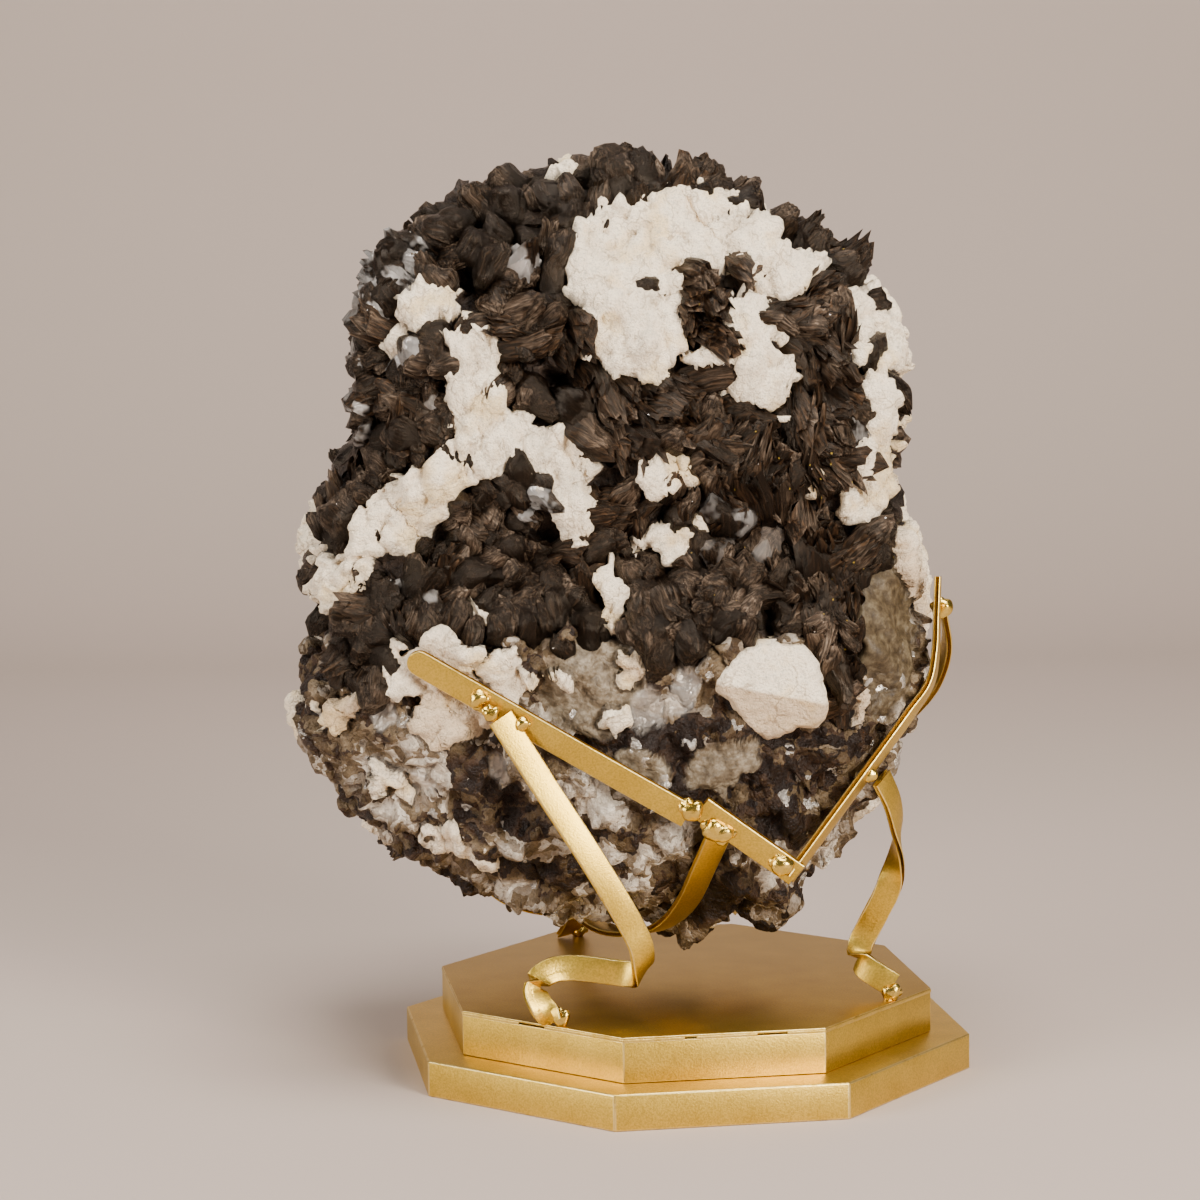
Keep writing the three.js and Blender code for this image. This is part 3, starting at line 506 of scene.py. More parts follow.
def albite_depth(points):
    """How deep each point is in an albite mass. The rims are ragged."""
    moved = points + (7.5 * noise_in_plane(points, 13, 41) + 4.2 * noise_in_plane(points, 4.5, 43))
    front = in_patches(moved, FRONT_ALBITE)
    back = in_patches(moved, BACK_ALBITE)
    side_patches = 1.1 * soft_noise(points, 46, 45) + 0.35 * soft_noise(points, 15, 46) - 0.42
    by_side = np.where(points[:, 1] < 0, front, back)
    rim = smoothstep(46, 34, abs(points[:, 1]))
    return np.maximum(by_side, side_patches * rim - (1 - rim))


# Meshes
def add_mesh(name, verts_mm, faces, smooth_deg, numbers, vectors=()):
    """A mesh object from points in millimetres. numbers and vectors hold (name, domain, values)."""
    mesh = bpy.data.meshes.new(name)
    mesh.from_pydata((np.asarray(verts_mm) * MM).tolist(), [], faces)
    for key, domain, values in numbers:
        mesh.attributes.new(key, "FLOAT", domain).data.foreach_set("value", np.asarray(values, np.float32))
    for key, domain, values in vectors:
        flat = np.asarray(values, np.float32).ravel()
        mesh.attributes.new(key, "FLOAT_VECTOR", domain).data.foreach_set("vector", flat)
    mesh.shade_smooth()
    mesh.set_sharp_from_angle(angle=math.radians(smooth_deg))
    piece = bpy.data.objects.new(name, mesh)
    bpy.context.collection.objects.link(piece)
    return piece


def finish_piece(piece, material, slot, *nodes):
    piece.data.materials.append(material)
    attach(piece, "root")
    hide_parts(*nodes)


# Shader helpers
def new_material(name):
    material = bpy.data.materials.new(name)
    material.use_nodes = True
    tree = material.node_tree
    return material, tree, tree.nodes["Principled BSDF"]


def put(tree, node, socket, value):
    if isinstance(value, bpy.types.NodeSocket):
        tree.links.new(value, node.inputs[socket])
    else:
        node.inputs[socket].default_value = value


def add_node(tree, kind, inputs, **settings):
    node = tree.nodes.new("ShaderNode" + kind)
    for key, value in settings.items():
        setattr(node, key, value)
    for socket, value in inputs.items():
        put(tree, node, socket, value)
    return node


def attribute(tree, name, output="Fac"):
    return add_node(tree, "Attribute", {}, attribute_name=name).outputs[output]


def noise_at(tree, where, scale, detail=3.0, rough=0.55):
    """Noise over the object, from 0 to 1. scale is in lumps a metre."""
    inputs = {"Vector": where, "Scale": scale, "Detail": detail, "Roughness": rough}
    return add_node(tree, "TexNoise", inputs).outputs["Fac"]


def bent_place(tree, place, scale, reach):
    """The place moved about by noise, so that cells laid over it get crooked walls."""
    noise = add_node(tree, "TexNoise", {"Vector": place, "Scale": scale}).outputs["Color"]
    inputs = {0: noise, 1: (reach, reach, reach), 2: place}
    return add_node(tree, "VectorMath", inputs, operation="MULTIPLY_ADD").outputs[0]


def cell_number(tree, texture, channel):
    """One channel of a cell texture's colour: a random number for each cell."""
    return add_node(tree, "SeparateColor", {"Color": texture.outputs["Color"]}).outputs[channel]


def calc(tree, operation, a, b):
    return add_node(tree, "Math", {0: a, 1: b}, operation=operation).outputs[0]


def times_plus(tree, a, b, c):
    """a times b, plus c."""
    return add_node(tree, "Math", {0: a, 1: b, 2: c}, operation="MULTIPLY_ADD").outputs[0]


def mix(tree, share, a, b, blend="MIX"):
    node = add_node(tree, "Mix", {}, data_type="RGBA", blend_type=blend)
    for socket, value in ((0, share), (6, a), (7, b)):
        put(tree, node, socket, value)
    return node.outputs[2]


def ramp(tree, share, stops):
    """Colours read off a list of (position, (r, g, b)) stops."""
    node = add_node(tree, "ValToRGB", {"Fac": share})
    scale = node.color_ramp
    while len(scale.elements) < len(stops):
        scale.elements.new(0.5)
    for element, (position, colour) in zip(scale.elements, stops):
        element.position = position
        element.color = (*colour, 1)
    return node.outputs["Color"]


def band(tree, value, low, high):
    """0 below low, 1 above high, smooth between."""
    inputs = {"Value": value, "From Min": low, "From Max": high}
    return add_node(tree, "MapRange", inputs, interpolation_type="SMOOTHSTEP").outputs["Result"]


def bump(tree, height, distance, strength, normal=None):
    inputs = {"Height": height, "Distance": distance, "Strength": strength}
    if normal is not None:
        inputs["Normal"] = normal
    return add_node(tree, "Bump", inputs).outputs["Normal"]


# Materials
def gold_material():
    """Satin metallic gold paint: fine bright grain, paler gold on the rounded edges as a painted highlight,
    painted shade on the top plate, glossy weld beads.
    """
    material, tree, shader = new_material("gold_paint")
    place = add_node(tree, "TexCoord", {}).outputs["Object"]
    grain = noise_at(tree, place, 1000, 2.0, 0.7)
    cloud = noise_at(tree, place, 45, 3.0)
    edge_highlight = attribute(tree, "edge_highlight")
    weld = attribute(tree, "weld")
    tone = ramp(tree, cloud, [(0.3, (0.67, 0.435, 0.058)), (0.7, (0.79, 0.535, 0.086))])
    sparkle = ramp(tree, grain, [(0.36, (0.62, 0.60, 0.55)), (0.62, (1.0, 1.0, 1.0))])
    colour = mix(tree, 0.6, tone, sparkle, "MULTIPLY")
    # The top plate's paint is darkened: painted shade and painted reflection of the dark stone above it
    colour = mix(tree, attribute(tree, "top_shade"), colour, (0.74, 0.70, 0.62, 1), "MULTIPLY")
    # Paler gold on the rounded edges, patchy: a painted highlight
    edge = calc(tree, "MULTIPLY", edge_highlight, band(tree, noise_at(tree, place, 160), 0.25, 0.55))
    colour = mix(tree, edge, colour, (0.86, 0.66, 0.25, 1))
    put(tree, shader, "Base Color", colour)
    shader.inputs["Metallic"].default_value = 1.0
    rough = times_plus(tree, grain, 0.16, 0.30)
    rough = calc(tree, "SUBTRACT", rough, calc(tree, "MULTIPLY", weld, 0.17))
    put(tree, shader, "Roughness", rough)
    blobs = noise_at(tree, place, 260, 2.0)
    grainy = bump(tree, grain, 0.00025, 0.5)
    lumpy = bump(tree, calc(tree, "MULTIPLY", blobs, weld), 0.0007, 0.5, grainy)
    put(tree, shader, "Normal", lumpy)
    return material


def mica_material():
    """Dark brown sheets: hair-fine lines along each book, painted grey-brown sheens in places, painted shade
    at the roots of the books and in the grooves between their sheets, a few silvery faces whose pale
    metallic colour is partly a painted highlight, small painted glints, and small yellow specks on the
    right."""
    material, tree, shader = new_material("mica")
    place = add_node(tree, "TexCoord", {}).outputs["Object"]
    grain = attribute(tree, "grain", "Vector")
    stretch = add_node(tree, "VectorMath", {0: grain, 1: (0.055, 0.75, 1.0)}, operation="MULTIPLY")
    fibres = noise_at(tree, stretch.outputs[0], 1.0, 4.0, 0.72)
    cloud = noise_at(tree, place, 75, 2.0, 0.62)
    broad_face = attribute(tree, "broad_face")
    tone = attribute(tree, "tone")
    silver_and_highlight = attribute(tree, "silver_and_highlight")
    groove_shade = attribute(tree, "groove_shade")
    # Books painted darker towards their roots: painted shade where the books tuck in under one another
    root_shade = ramp(tree, attribute(tree, "reach"), [(0.12, (0.08, 0.07, 0.06)), (0.55, (0.60, 0.57, 0.54)),
                                                   (0.92, (1.0, 1.0, 1.0))])
    bundle = attribute(tree, "bundle")
    fibrous = ramp(tree, fibres, [(0.38, (0.0020, 0.0010, 0.0005)), (0.50, (0.022, 0.0110, 0.0053)),
                                  (0.64, (0.150, 0.082, 0.042))])
    smooth = ramp(tree, fibres, [(0.36, (0.002, 0.0011, 0.0006)), (0.50, (0.016, 0.0092, 0.0052)),
                                 (0.66, (0.088, 0.054, 0.033))])
    colour = mix(tree, bundle, smooth, fibrous)
    # Patches of paler grey-brown: a painted sheen
    painted_sheen = ramp(tree, fibres, [(0.36, (0.018, 0.0110, 0.0068)), (0.50, (0.105, 0.070, 0.047)),
                                (0.66, (0.33, 0.250, 0.185))])
    share = calc(tree, "MULTIPLY", band(tree, cloud, 0.46, 0.62), band(tree, tone, 0.15, 0.85))
    colour = mix(tree, share, colour, painted_sheen)
    shade = ramp(tree, tone, [(0.0, (0.22, 0.20, 0.18)), (0.55, (0.66, 0.63, 0.59)), (1.0, (1.0, 1.0, 1.0))])
    colour = mix(tree, 1.0, mix(tree, 1.0, colour, shade, "MULTIPLY"), root_shade, "MULTIPLY")
    # The grooves between sheets are darkened towards black: painted shade
    colour = mix(tree, calc(tree, "MULTIPLY", groove_shade, 0.6), colour, (0.002, 0.001, 0.0006, 1))
    specks = add_node(tree, "TexVoronoi", {"Vector": place, "Scale": 190.0})
    chosen = cell_number(tree, specks, 0)
    speck = calc(tree, "MULTIPLY", calc(tree, "LESS_THAN", specks.outputs["Distance"], 0.10),
                 calc(tree, "GREATER_THAN", chosen, 0.86))
    # Tiny pale metallic dots: painted glints
    glint = calc(tree, "MULTIPLY", calc(tree, "LESS_THAN", specks.outputs["Distance"], 0.085),
                 calc(tree, "LESS_THAN", chosen, 0.07))
    across = add_node(tree, "SeparateXYZ", {"Vector": place}).outputs[0]
    speck = calc(tree, "MULTIPLY", speck, band(tree, across, -0.01, 0.03))
    colour = mix(tree, calc(tree, "MULTIPLY", speck, 0.8), colour, (0.42, 0.28, 0.035, 1))
    # Silvery books go pale and metallic in patches, most on their broad faces: partly silvery mica, partly a
    # painted highlight
    bright = times_plus(tree, broad_face, 0.6, 0.4)
    bright = calc(tree, "MULTIPLY", calc(tree, "MULTIPLY", silver_and_highlight, bright), band(tree, cloud, 0.44, 0.54))
    bright = calc(tree, "MAXIMUM", bright, calc(tree, "MULTIPLY", glint, 0.9))
    colour = mix(tree, bright, colour, (0.66, 0.62, 0.58, 1))
    put(tree, shader, "Base Color", colour)
    put(tree, shader, "Metallic", calc(tree, "MULTIPLY", bright, 0.85))
    rough = calc(tree, "ADD", 0.18, calc(tree, "MULTIPLY", bundle, 0.12))
    put(tree, shader, "Roughness", calc(tree, "SUBTRACT", rough, calc(tree, "MULTIPLY", bright, 0.16)))
    shader.inputs["Specular IOR Level"].default_value = 0.24
    shader.inputs["Specular Tint"].default_value = (1.0, 0.80, 0.62, 1)
    put(tree, shader, "Normal", bump(tree, fibres, 0.0012, 0.85))
    return material


def stone_material():
    """The body of the stone: matt white albite with painted shade in its creases and on faces turned from
    the light, a broken mosaic below, tan cleavage faces, silvery faces and crumbs whose pale metallic colour
    is partly painted highlight and painted glints, and dark mica in between, darkened further as painted
    shade."""
    material, tree, shader = new_material("stone")
    place = add_node(tree, "TexCoord", {}).outputs["Object"]
    fine = noise_at(tree, place, 900, 2.0, 0.65)
    middle = noise_at(tree, place, 230, 3.0, 0.62)
    broad = noise_at(tree, place, 42, 2.0)
    albite = attribute(tree, "albite")
    matrix = attribute(tree, "matrix")
    tan = attribute(tree, "tan")
    silver_and_highlight = attribute(tree, "silver_and_highlight")
    pale = attribute(tree, "pale")
    dull_and_shade = attribute(tree, "dull_and_shade")
    crease_shade = attribute(tree, "crease_shade")

    ragged = times_plus(tree, calc(tree, "SUBTRACT", middle, 0.5), 0.5, albite)
    white_share = band(tree, ragged, 0.42, 0.58)

    white = ramp(tree, broad, [(0.30, (0.80, 0.67, 0.50)), (0.42, (0.96, 0.80, 0.595)),
                               (0.54, (0.98, 0.82, 0.605)), (0.66, (0.90, 0.69, 0.40))])
    # The creases of the albite are painted darker brown: painted shade
    white = mix(tree, calc(tree, "MULTIPLY", crease_shade, 0.62), white, (0.52, 0.40, 0.27, 1))
    stain = band(tree, noise_at(tree, place, 120, 4.0, 0.78), 0.53, 0.72)
    white = mix(tree, calc(tree, "MULTIPLY", stain, 0.55), white, (0.40, 0.35, 0.29, 1))
    pits = band(tree, fine, 0.50, 0.36)
    white = mix(tree, calc(tree, "MULTIPLY", pits, 0.45), white, (0.44, 0.37, 0.29, 1))
    crooked = {"Vector": bent_place(tree, place, 130.0, 0.011), "Scale": 62.0}
    cracks = add_node(tree, "TexVoronoi", crooked, feature="DISTANCE_TO_EDGE")
    crack = band(tree, cracks.outputs["Distance"], 0.040, 0.0)
    crack = calc(tree, "MULTIPLY", crack, band(tree, noise_at(tree, place, 70, 1.0), 0.40, 0.56))
    white = mix(tree, calc(tree, "MULTIPLY", crack, 0.6), white, (0.34, 0.24, 0.145, 1))
    # Darkened albite: greyer stone, and painted shade on faces turned from the light
    white = mix(tree, dull_and_shade, white, (0.76, 0.69, 0.615, 1), "MULTIPLY")

    twisted = bent_place(tree, place, 110.0, 0.016)
    chips = add_node(tree, "TexVoronoi", {"Vector": twisted, "Scale": 62.0})
    crumbs = add_node(tree, "TexVoronoi", {"Vector": twisted, "Scale": 185.0})
    crumb_tone = cell_number(tree, crumbs, 1)
    tone = times_plus(tree, cell_number(tree, chips, 0), 0.55, calc(tree, "MULTIPLY", crumb_tone, 0.35))
    tone = calc(tree, "SUBTRACT", tone, pale)
    broken = ramp(tree, tone, [
        (0.05, (0.84, 0.75, 0.63)), (0.22, (0.66, 0.56, 0.44)), (0.33, (0.38, 0.315, 0.25)),
        (0.44, (0.22, 0.155, 0.090)), (0.56, (0.115, 0.075, 0.036)), (0.68, (0.055, 0.028, 0.014)),
        (0.80, (0.018, 0.009, 0.005))])
    broken = mix(tree, 0.6, broken, ramp(tree, middle, [(0.32, (0.30, 0.26, 0.22)), (0.62, (1, 1, 1))]),
                 "MULTIPLY")
    # The body under the mica books is near black: dark mica, darkened further as painted shade in the gaps
    # between the books
    dark = ramp(tree, middle, [(0.3, (0.008, 0.005, 0.0035)), (0.7, (0.060, 0.038, 0.025))])
    colour = mix(tree, matrix, dark, broken)
    tan_colour = ramp(tree, middle, [(0.3, (0.070, 0.049, 0.029)), (0.5, (0.165, 0.125, 0.080)),
                                     (0.7, (0.32, 0.265, 0.19))])
    # The tan face on the right is darkened the same way, as painted shade
    tan_colour = mix(tree, dull_and_shade, tan_colour, (0.50, 0.46, 0.38, 1), "MULTIPLY")
    colour = mix(tree, tan, colour, tan_colour)
    colour = mix(tree, white_share, colour, white)
    # Silvery faces and rare crumbs of the matrix go pale and metallic: partly glossy mica, partly painted
    # highlight and painted glints
    glint = calc(tree, "MULTIPLY", matrix, calc(tree, "GREATER_THAN", crumb_tone, 0.965))
    bright = calc(tree, "MAXIMUM", calc(tree, "MULTIPLY", silver_and_highlight, 0.42), calc(tree, "MULTIPLY", glint, 0.7))
    bright = calc(tree, "MULTIPLY", bright, calc(tree, "SUBTRACT", 1.0, white_share))
    colour = mix(tree, bright, colour, (0.66, 0.60, 0.53, 1))
    put(tree, shader, "Base Color", colour)
    put(tree, shader, "Metallic", calc(tree, "MULTIPLY", bright, 0.8))
    shader.inputs["Specular IOR Level"].default_value = 0.25
    rough = calc(tree, "ADD", calc(tree, "MULTIPLY", white_share, 0.35), 0.46)
    put(tree, shader, "Roughness", calc(tree, "SUBTRACT", rough, calc(tree, "MULTIPLY", bright, 0.30)))
    height = calc(tree, "ADD", calc(tree, "MULTIPLY", fine, 0.5), middle)
    calm = calc(tree, "SUBTRACT", 1.0, calc(tree, "MULTIPLY", calc(tree, "MAXIMUM", tan, silver_and_highlight), 0.8))
    relief = bump(tree, calc(tree, "MULTIPLY", height, calm), 0.0028, 0.9)
    grains = calc(tree, "ADD", chips.outputs["Distance"], crumbs.outputs["Distance"])
    grains = calc(tree, "MULTIPLY", grains, calc(tree, "MULTIPLY", matrix, -1.0))
    put(tree, shader, "Normal", bump(tree, grains, 0.0016, 0.8, relief))
    return material


GOLD = gold_material()
MICA = mica_material()
STONE = stone_material()


# Base
def octagon_tier(name, corner_radius, bottom, top, node, bevel, top_shade=0.0):
    """An eight-sided plate with rounded edges that carry a painted highlight. The last number darkens the
    paint as painted shade, for the top plate, which lies under the dark stone and reflects it.
    """
    bm = bmesh.new()
    rings = []
    turns = [math.radians(BASE_TURN_DEG + 45 * i) for i in range(8)]
    for z in (bottom, top):
        corners = [(corner_radius * math.cos(turn), corner_radius * math.sin(turn), z) for turn in turns]
        rings.append([bm.verts.new(corner) for corner in corners])
    bm.faces.new(reversed(rings[0]))
    bm.faces.new(rings[1])
    for i in range(8):
        after = (i + 1) % 8
        bm.faces.new((rings[0][i], rings[0][after], rings[1][after], rings[1][i]))
    bevelled = bmesh.ops.bevel(bm, geom=bm.edges[:], offset=bevel, segments=3, profile=0.5, affect="EDGES")
    rounded = set(bevelled["faces"])
    bm.verts.index_update()
    verts = [vert.co[:] for vert in bm.verts]
    faces = [[vert.index for vert in face.verts] for face in bm.faces]
    # The rounded edge faces get the painted edge highlight
    edge_highlight = [EDGE_HIGHLIGHT if face in rounded else 0.0 for face in bm.faces]
    bm.free()
    numbers = [("edge_highlight", "FACE", edge_highlight), ("weld", "POINT", [0.0] * len(verts)),
               ("top_shade", "POINT", [top_shade] * len(verts))]
    piece = add_mesh(name, verts, faces, 30, numbers)
    finish_piece(piece, GOLD, "gold_paint", node)


def seam_fill():
    """A thin painted bead that closes the seam under the top plate, except at the open slits."""
    apothem = UPPER_CORNER_RADIUS * math.cos(math.pi / 8)
    half_side = UPPER_CORNER_RADIUS * math.sin(math.pi / 8)
    verts = []
    faces = []
    for side in range(8):
        turn = math.radians(BASE_TURN_DEG + 22.5 + 45 * side)
        out = np.array([math.cos(turn), math.sin(turn), 0])
        along = np.array([-math.sin(turn), math.cos(turn), 0])
        start = 0.0
        for low, high in SEAM_SLITS.get(side, []) + [(1.0, 1.0)]:
            first = len(verts)
            for share in (start, low):
                for depth, z in ((-2, -0.7), (0.1, -0.7), (0.25, 0), (0.1, 0.7), (-2, 0.7)):
                    middle = 0.5 * (UPPER_TIER_TOP + TOP_PLATE_BOTTOM)
                    at = out * (apothem + depth) + along * half_side * (2 * share - 1)
                    verts.append((at[0], at[1], middle + z))
            for i in range(5):
                after = (i + 1) % 5
                faces.append([first + i, first + after, first + 5 + after, first + 5 + i])
            faces.append([first + i for i in reversed(range(5))])
            faces.append([first + 5 + i for i in range(5)])
            start = high
    # The seam bead gets a weak painted edge highlight
    numbers = [("edge_highlight", "POINT", [0.35] * len(verts)), ("weld", "POINT", [0.2] * len(verts))]
    piece = add_mesh("base_seam", verts, faces, 50, numbers)
    finish_piece(piece, GOLD, "gold_paint", "base_top_plate")


# Flat bars
def curve_points(points, shares, centripetal):
    """Catmull-Rom through points, read at shares from 0 to 1 of its parameter."""
    points = np.array(points, float)
    count = len(points)
    ends = np.vstack([2 * points[0] - points[1], points, 2 * points[-1] - points[-2]])
    position = np.clip(shares, 0, 1) * (count - 1)
    span = np.minimum(position.astype(int), count - 2)
    weight = (position - span)[:, None]
    p0, p1, p2, p3 = (ends[span + k] for k in range(4))
    if centripetal:
        pairs = ((p0, p1), (p1, p2), (p2, p3))
        d0, d1, d2 = (np.linalg.norm(b - a, axis=1)[:, None] ** 0.5 for a, b in pairs)
        t1 = d1 * ((p1 - p0) / d0 - (p2 - p0) / (d0 + d1) + (p2 - p1) / d1)
        t2 = d1 * ((p2 - p1) / d1 - (p3 - p1) / (d1 + d2) + (p3 - p2) / d2)
    else:
        t1 = 0.5 * (p2 - p0)
        t2 = 0.5 * (p3 - p1)
    c2 = -3 * p1 + 3 * p2 - 2 * t1 - t2
    c3 = 2 * p1 - 2 * p2 + t1 + t2
    return p1 + weight * (t1 + weight * (c2 + weight * c3))


def bar_frames(name):
    """Places every BAR_STEP along a bar, with its width and thickness directions and its half width."""
    places = [place for place, _ in BARS[name]]
    widths = [np.array(width) / np.linalg.norm(width) for _, width in BARS[name]]
    dense = np.linspace(0, 1, 60 * len(places))
    line = curve_points(places, dense, True)
    run = np.concatenate([[0], np.cumsum(np.linalg.norm(np.diff(line, axis=0), axis=1))])
    steps = np.linspace(0, run[-1], int(run[-1] / BAR_STEP) + 1)
    if name in ROUND_TIPPED:
        steps = np.concatenate([[0.05, 0.5, 1.2, 2.2, 3.6, 5.0], steps[steps >= HALF_BAR]])
    shares = np.interp(steps, run, dense)
    at = curve_points(places, shares, True)
    ahead = np.gradient(at, axis=0)
    ahead /= np.linalg.norm(ahead, axis=1)[:, None]
    wide = curve_points(widths, shares, False)
    wide -= ahead * (wide * ahead).sum(axis=1)[:, None]
    wide /= np.linalg.norm(wide, axis=1)[:, None]
    thin = np.cross(ahead, wide)
    half = np.full(len(steps), HALF_BAR)
    if name in ROUND_TIPPED:
        half = HALF_BAR * np.sqrt(np.clip(1 - (1 - np.minimum(steps / HALF_BAR, 1)) ** 2, 0.0004, 1))
    return at, wide, thin, half


def section():
    """Points round the bar's section, as (right, up, cosine, sine). The last two place a point on a
    rounded edge; where they are None the point is in the middle of a flat."""
    points = []
    for right, up in ((1, 1), (-1, 1), (-1, -1), (1, -1)):
        turns = (0, 30, 60, 90) if right * up > 0 else (90, 60, 30, 0)
        for turn in turns:
            angle = math.radians(turn)
            points.append((right, up, math.cos(angle), math.sin(angle)))
        points.append((0.35 * right * up, up, None, None))
    return points


def bar_mesh(name):
    at, wide, thin, half = bar_frames(name)
    ring = []
    edge_highlight = []
    for right, up, cosine, sine in section():
        if cosine is None:
            across = right * half
            through = np.full(len(at), up * HALF_THICKNESS)
            edge_highlight.append(0.0)
        else:
            inset = np.minimum(BAR_EDGE_RADIUS, 0.5 * half)
            across = right * (half - inset * (1 - cosine))
            through = up * (HALF_THICKNESS - BAR_EDGE_RADIUS * (1 - sine)) * np.ones(len(at))
            # Points on the rounded edges get the painted edge highlight
            edge_highlight.append(1.0 if min(cosine, sine) > 0.1 else 0.0)
        uneven = 0.06 * soft_noise(at + right * 20, 9, 7)
        ring.append(at + wide * (across + uneven)[:, None] + thin * through[:, None])
    count = len(ring)
    verts = np.stack(ring, axis=1).reshape(-1, 3)
    faces = []
    for r in range(len(at) - 1):
        for i in range(count):
            a, b = r * count + i, r * count + (i + 1) % count
            faces.append([a, b, b + count, a + count])
    last = (len(at) - 1) * count
    faces.append(list(reversed(range(count))))
    faces.append(list(range(last, last + count)))
    return verts, faces, np.tile(edge_highlight, len(at))


def bead_mesh(x, y, z, radius, seed):
    """A lumpy, melted drop of weld metal."""
    bm = bmesh.new()
    bmesh.ops.create_icosphere(bm, subdivisions=4, radius=1)
    points = np.array([vert.co[:] for vert in bm.verts])
    bm.verts.index_update()
    faces = [[vert.index for vert in face.verts] for face in bm.faces]
    bm.free()
    swell = 1 + 0.26 * soft_noise(points + seed * 7.3, 1.0, 3)
    swell += 0.05 * soft_noise(points + seed * 3.1, 0.5, 4)
    return points * swell[:, None] * (radius, 0.7 * radius, radius) + (x, y, z), faces


def add_bar(name):
    verts, faces, edge_highlight = bar_mesh(name)
    weld = np.zeros(len(verts))
    for index, (x, y, z, radius) in enumerate(WELDS[name]):
        drops = [(x, y, z, 1.1 * radius)]
        for k in range(2):
            turn = 2.6 * k + 3 * number_of(index + k, 31)
            side = 0.8 * radius
            drops.append((x + side * math.cos(turn), y + 0.5, z + side * math.sin(turn), 0.62 * radius))
        for k, drop in enumerate(drops):
            bead, bead_faces = bead_mesh(*drop, 5 * index + k + len(name))
            faces += [[i + len(verts) for i in face] for face in bead_faces]
            verts = np.vstack([verts, bead])
            # Weld beads get a weak painted edge highlight
            edge_highlight = np.concatenate([edge_highlight, np.full(len(bead), 0.25)])
            weld = np.concatenate([weld, np.ones(len(bead))])
    numbers = [("edge_highlight", "POINT", edge_highlight), ("weld", "POINT", weld)]
    piece = add_mesh(name + "_painted", verts, faces, 40, numbers)
    finish_piece(piece, GOLD, "gold_paint", name)


# Body of the stone
def disc_grid():
    """Angles and shares of a square grid laid over one side of the body, with even spacing."""
    line = np.linspace(-1, 1, GRID + 1)
    a, b = (grid.ravel() for grid in np.meshgrid(line, line))
    wider = abs(a) > abs(b)
    safe_a = np.where(a == 0, 1, a)
    safe_b = np.where(b == 0, 1, b)
    radius = np.where(wider, a, b)
    angle = np.where(wider, math.pi / 4 * b / safe_a, math.pi / 2 - math.pi / 4 * a / safe_b)
    angle = np.where(radius < 0, angle + math.pi, angle)
    sweep = np.linspace(0, math.pi / 2, 2000)
    across = BODY_RADIUS * np.sin(sweep) ** SQUARENESS
    deep = BODY_DEPTH * np.cos(sweep) ** SQUARENESS
    profile = np.stack([across, deep], axis=1)
    run = np.concatenate([[0], np.cumsum(np.linalg.norm(np.diff(profile, axis=0), axis=1))])
    turn = np.interp(abs(radius) * run[-1], run, sweep)
    share = np.sin(turn) ** SQUARENESS
    rim = abs(radius) > 1 - 1e-9
    return angle, np.where(rim, 1.0, share), rim


def grid_faces(flip):
    faces = []
    row = GRID + 1
    for j in range(GRID):
        for i in range(GRID):
            a = j * row + i
            face = [a, a + 1, a + row + 1, a + row]
            faces.append(face[::-1] if flip else face)
    return faces


def mesh_normals(points, faces):
    corners = points[np.array(faces)]
    across = np.cross(corners[:, 2] - corners[:, 0], corners[:, 3] - corners[:, 1])
    normals = np.zeros_like(points)
    for k in range(4):
        np.add.at(normals, np.array(faces)[:, k], across)
    length = np.linalg.norm(normals, axis=1)
    return normals / np.maximum(length, 1e-9)[:, None]


def bar_samples():
    """Places along all the bars, with how far a bar's metal reaches from there, for fitting the stone."""
    places = [bar_frames(name)[:3] for name in BARS]
    return tuple(np.vstack([group[k] for group in places]) for k in range(3))


BAR_AT, BAR_WIDE, BAR_THIN = bar_samples()


def clear_of_bars(points, normals):
    """Points pushed inward wherever a bar lies on the stone or would cut into it."""
    moved = points.copy()
    for start in range(0, len(points), FITTED_AT_ONCE):
        block = slice(start, start + FITTED_AT_ONCE)
        near = np.full(len(points[block]), 1e9)
        closest = np.zeros(len(points[block]), int)
        for i in range(0, len(BAR_AT), BAR_PLACES_AT_ONCE):
            some = BAR_AT[None, i:i + BAR_PLACES_AT_ONCE]
            gap = ((points[block][:, None, :] - some) ** 2).sum(axis=2)
            best = gap.argmin(axis=1)
            value = gap[np.arange(len(gap)), best]
            closest = np.where(value < near, best + i, closest)
            near = np.minimum(near, value)
        out = normals[block]
        offset = points[block] - BAR_AT[closest]
        reach = abs((out * BAR_THIN[closest]).sum(axis=1)) * HALF_THICKNESS
        reach += abs((out * BAR_WIDE[closest]).sum(axis=1)) * HALF_BAR
        above = (offset * out).sum(axis=1)
        sideways = np.linalg.norm(offset - out * above[:, None], axis=1)
        press = np.maximum(0, above + reach + BAR_ROOM) * smoothstep(13, 7.5, sideways)
        press = np.where(above < 30, press, 0)
        moved[block] -= out * press[:, None]
    return moved


def smoothed(values):
    """Values on the two grids, averaged with their neighbours."""
    grids = values.reshape(2, GRID + 1, GRID + 1)
    wide = np.pad(grids, ((0, 0), (1, 1), (1, 1)), mode="edge")
    around = wide[:, :-2, 1:-1] + wide[:, 2:, 1:-1] + wide[:, 1:-1, :-2] + wide[:, 1:-1, 2:]
    return (0.5 * grids + 0.125 * around).ravel()


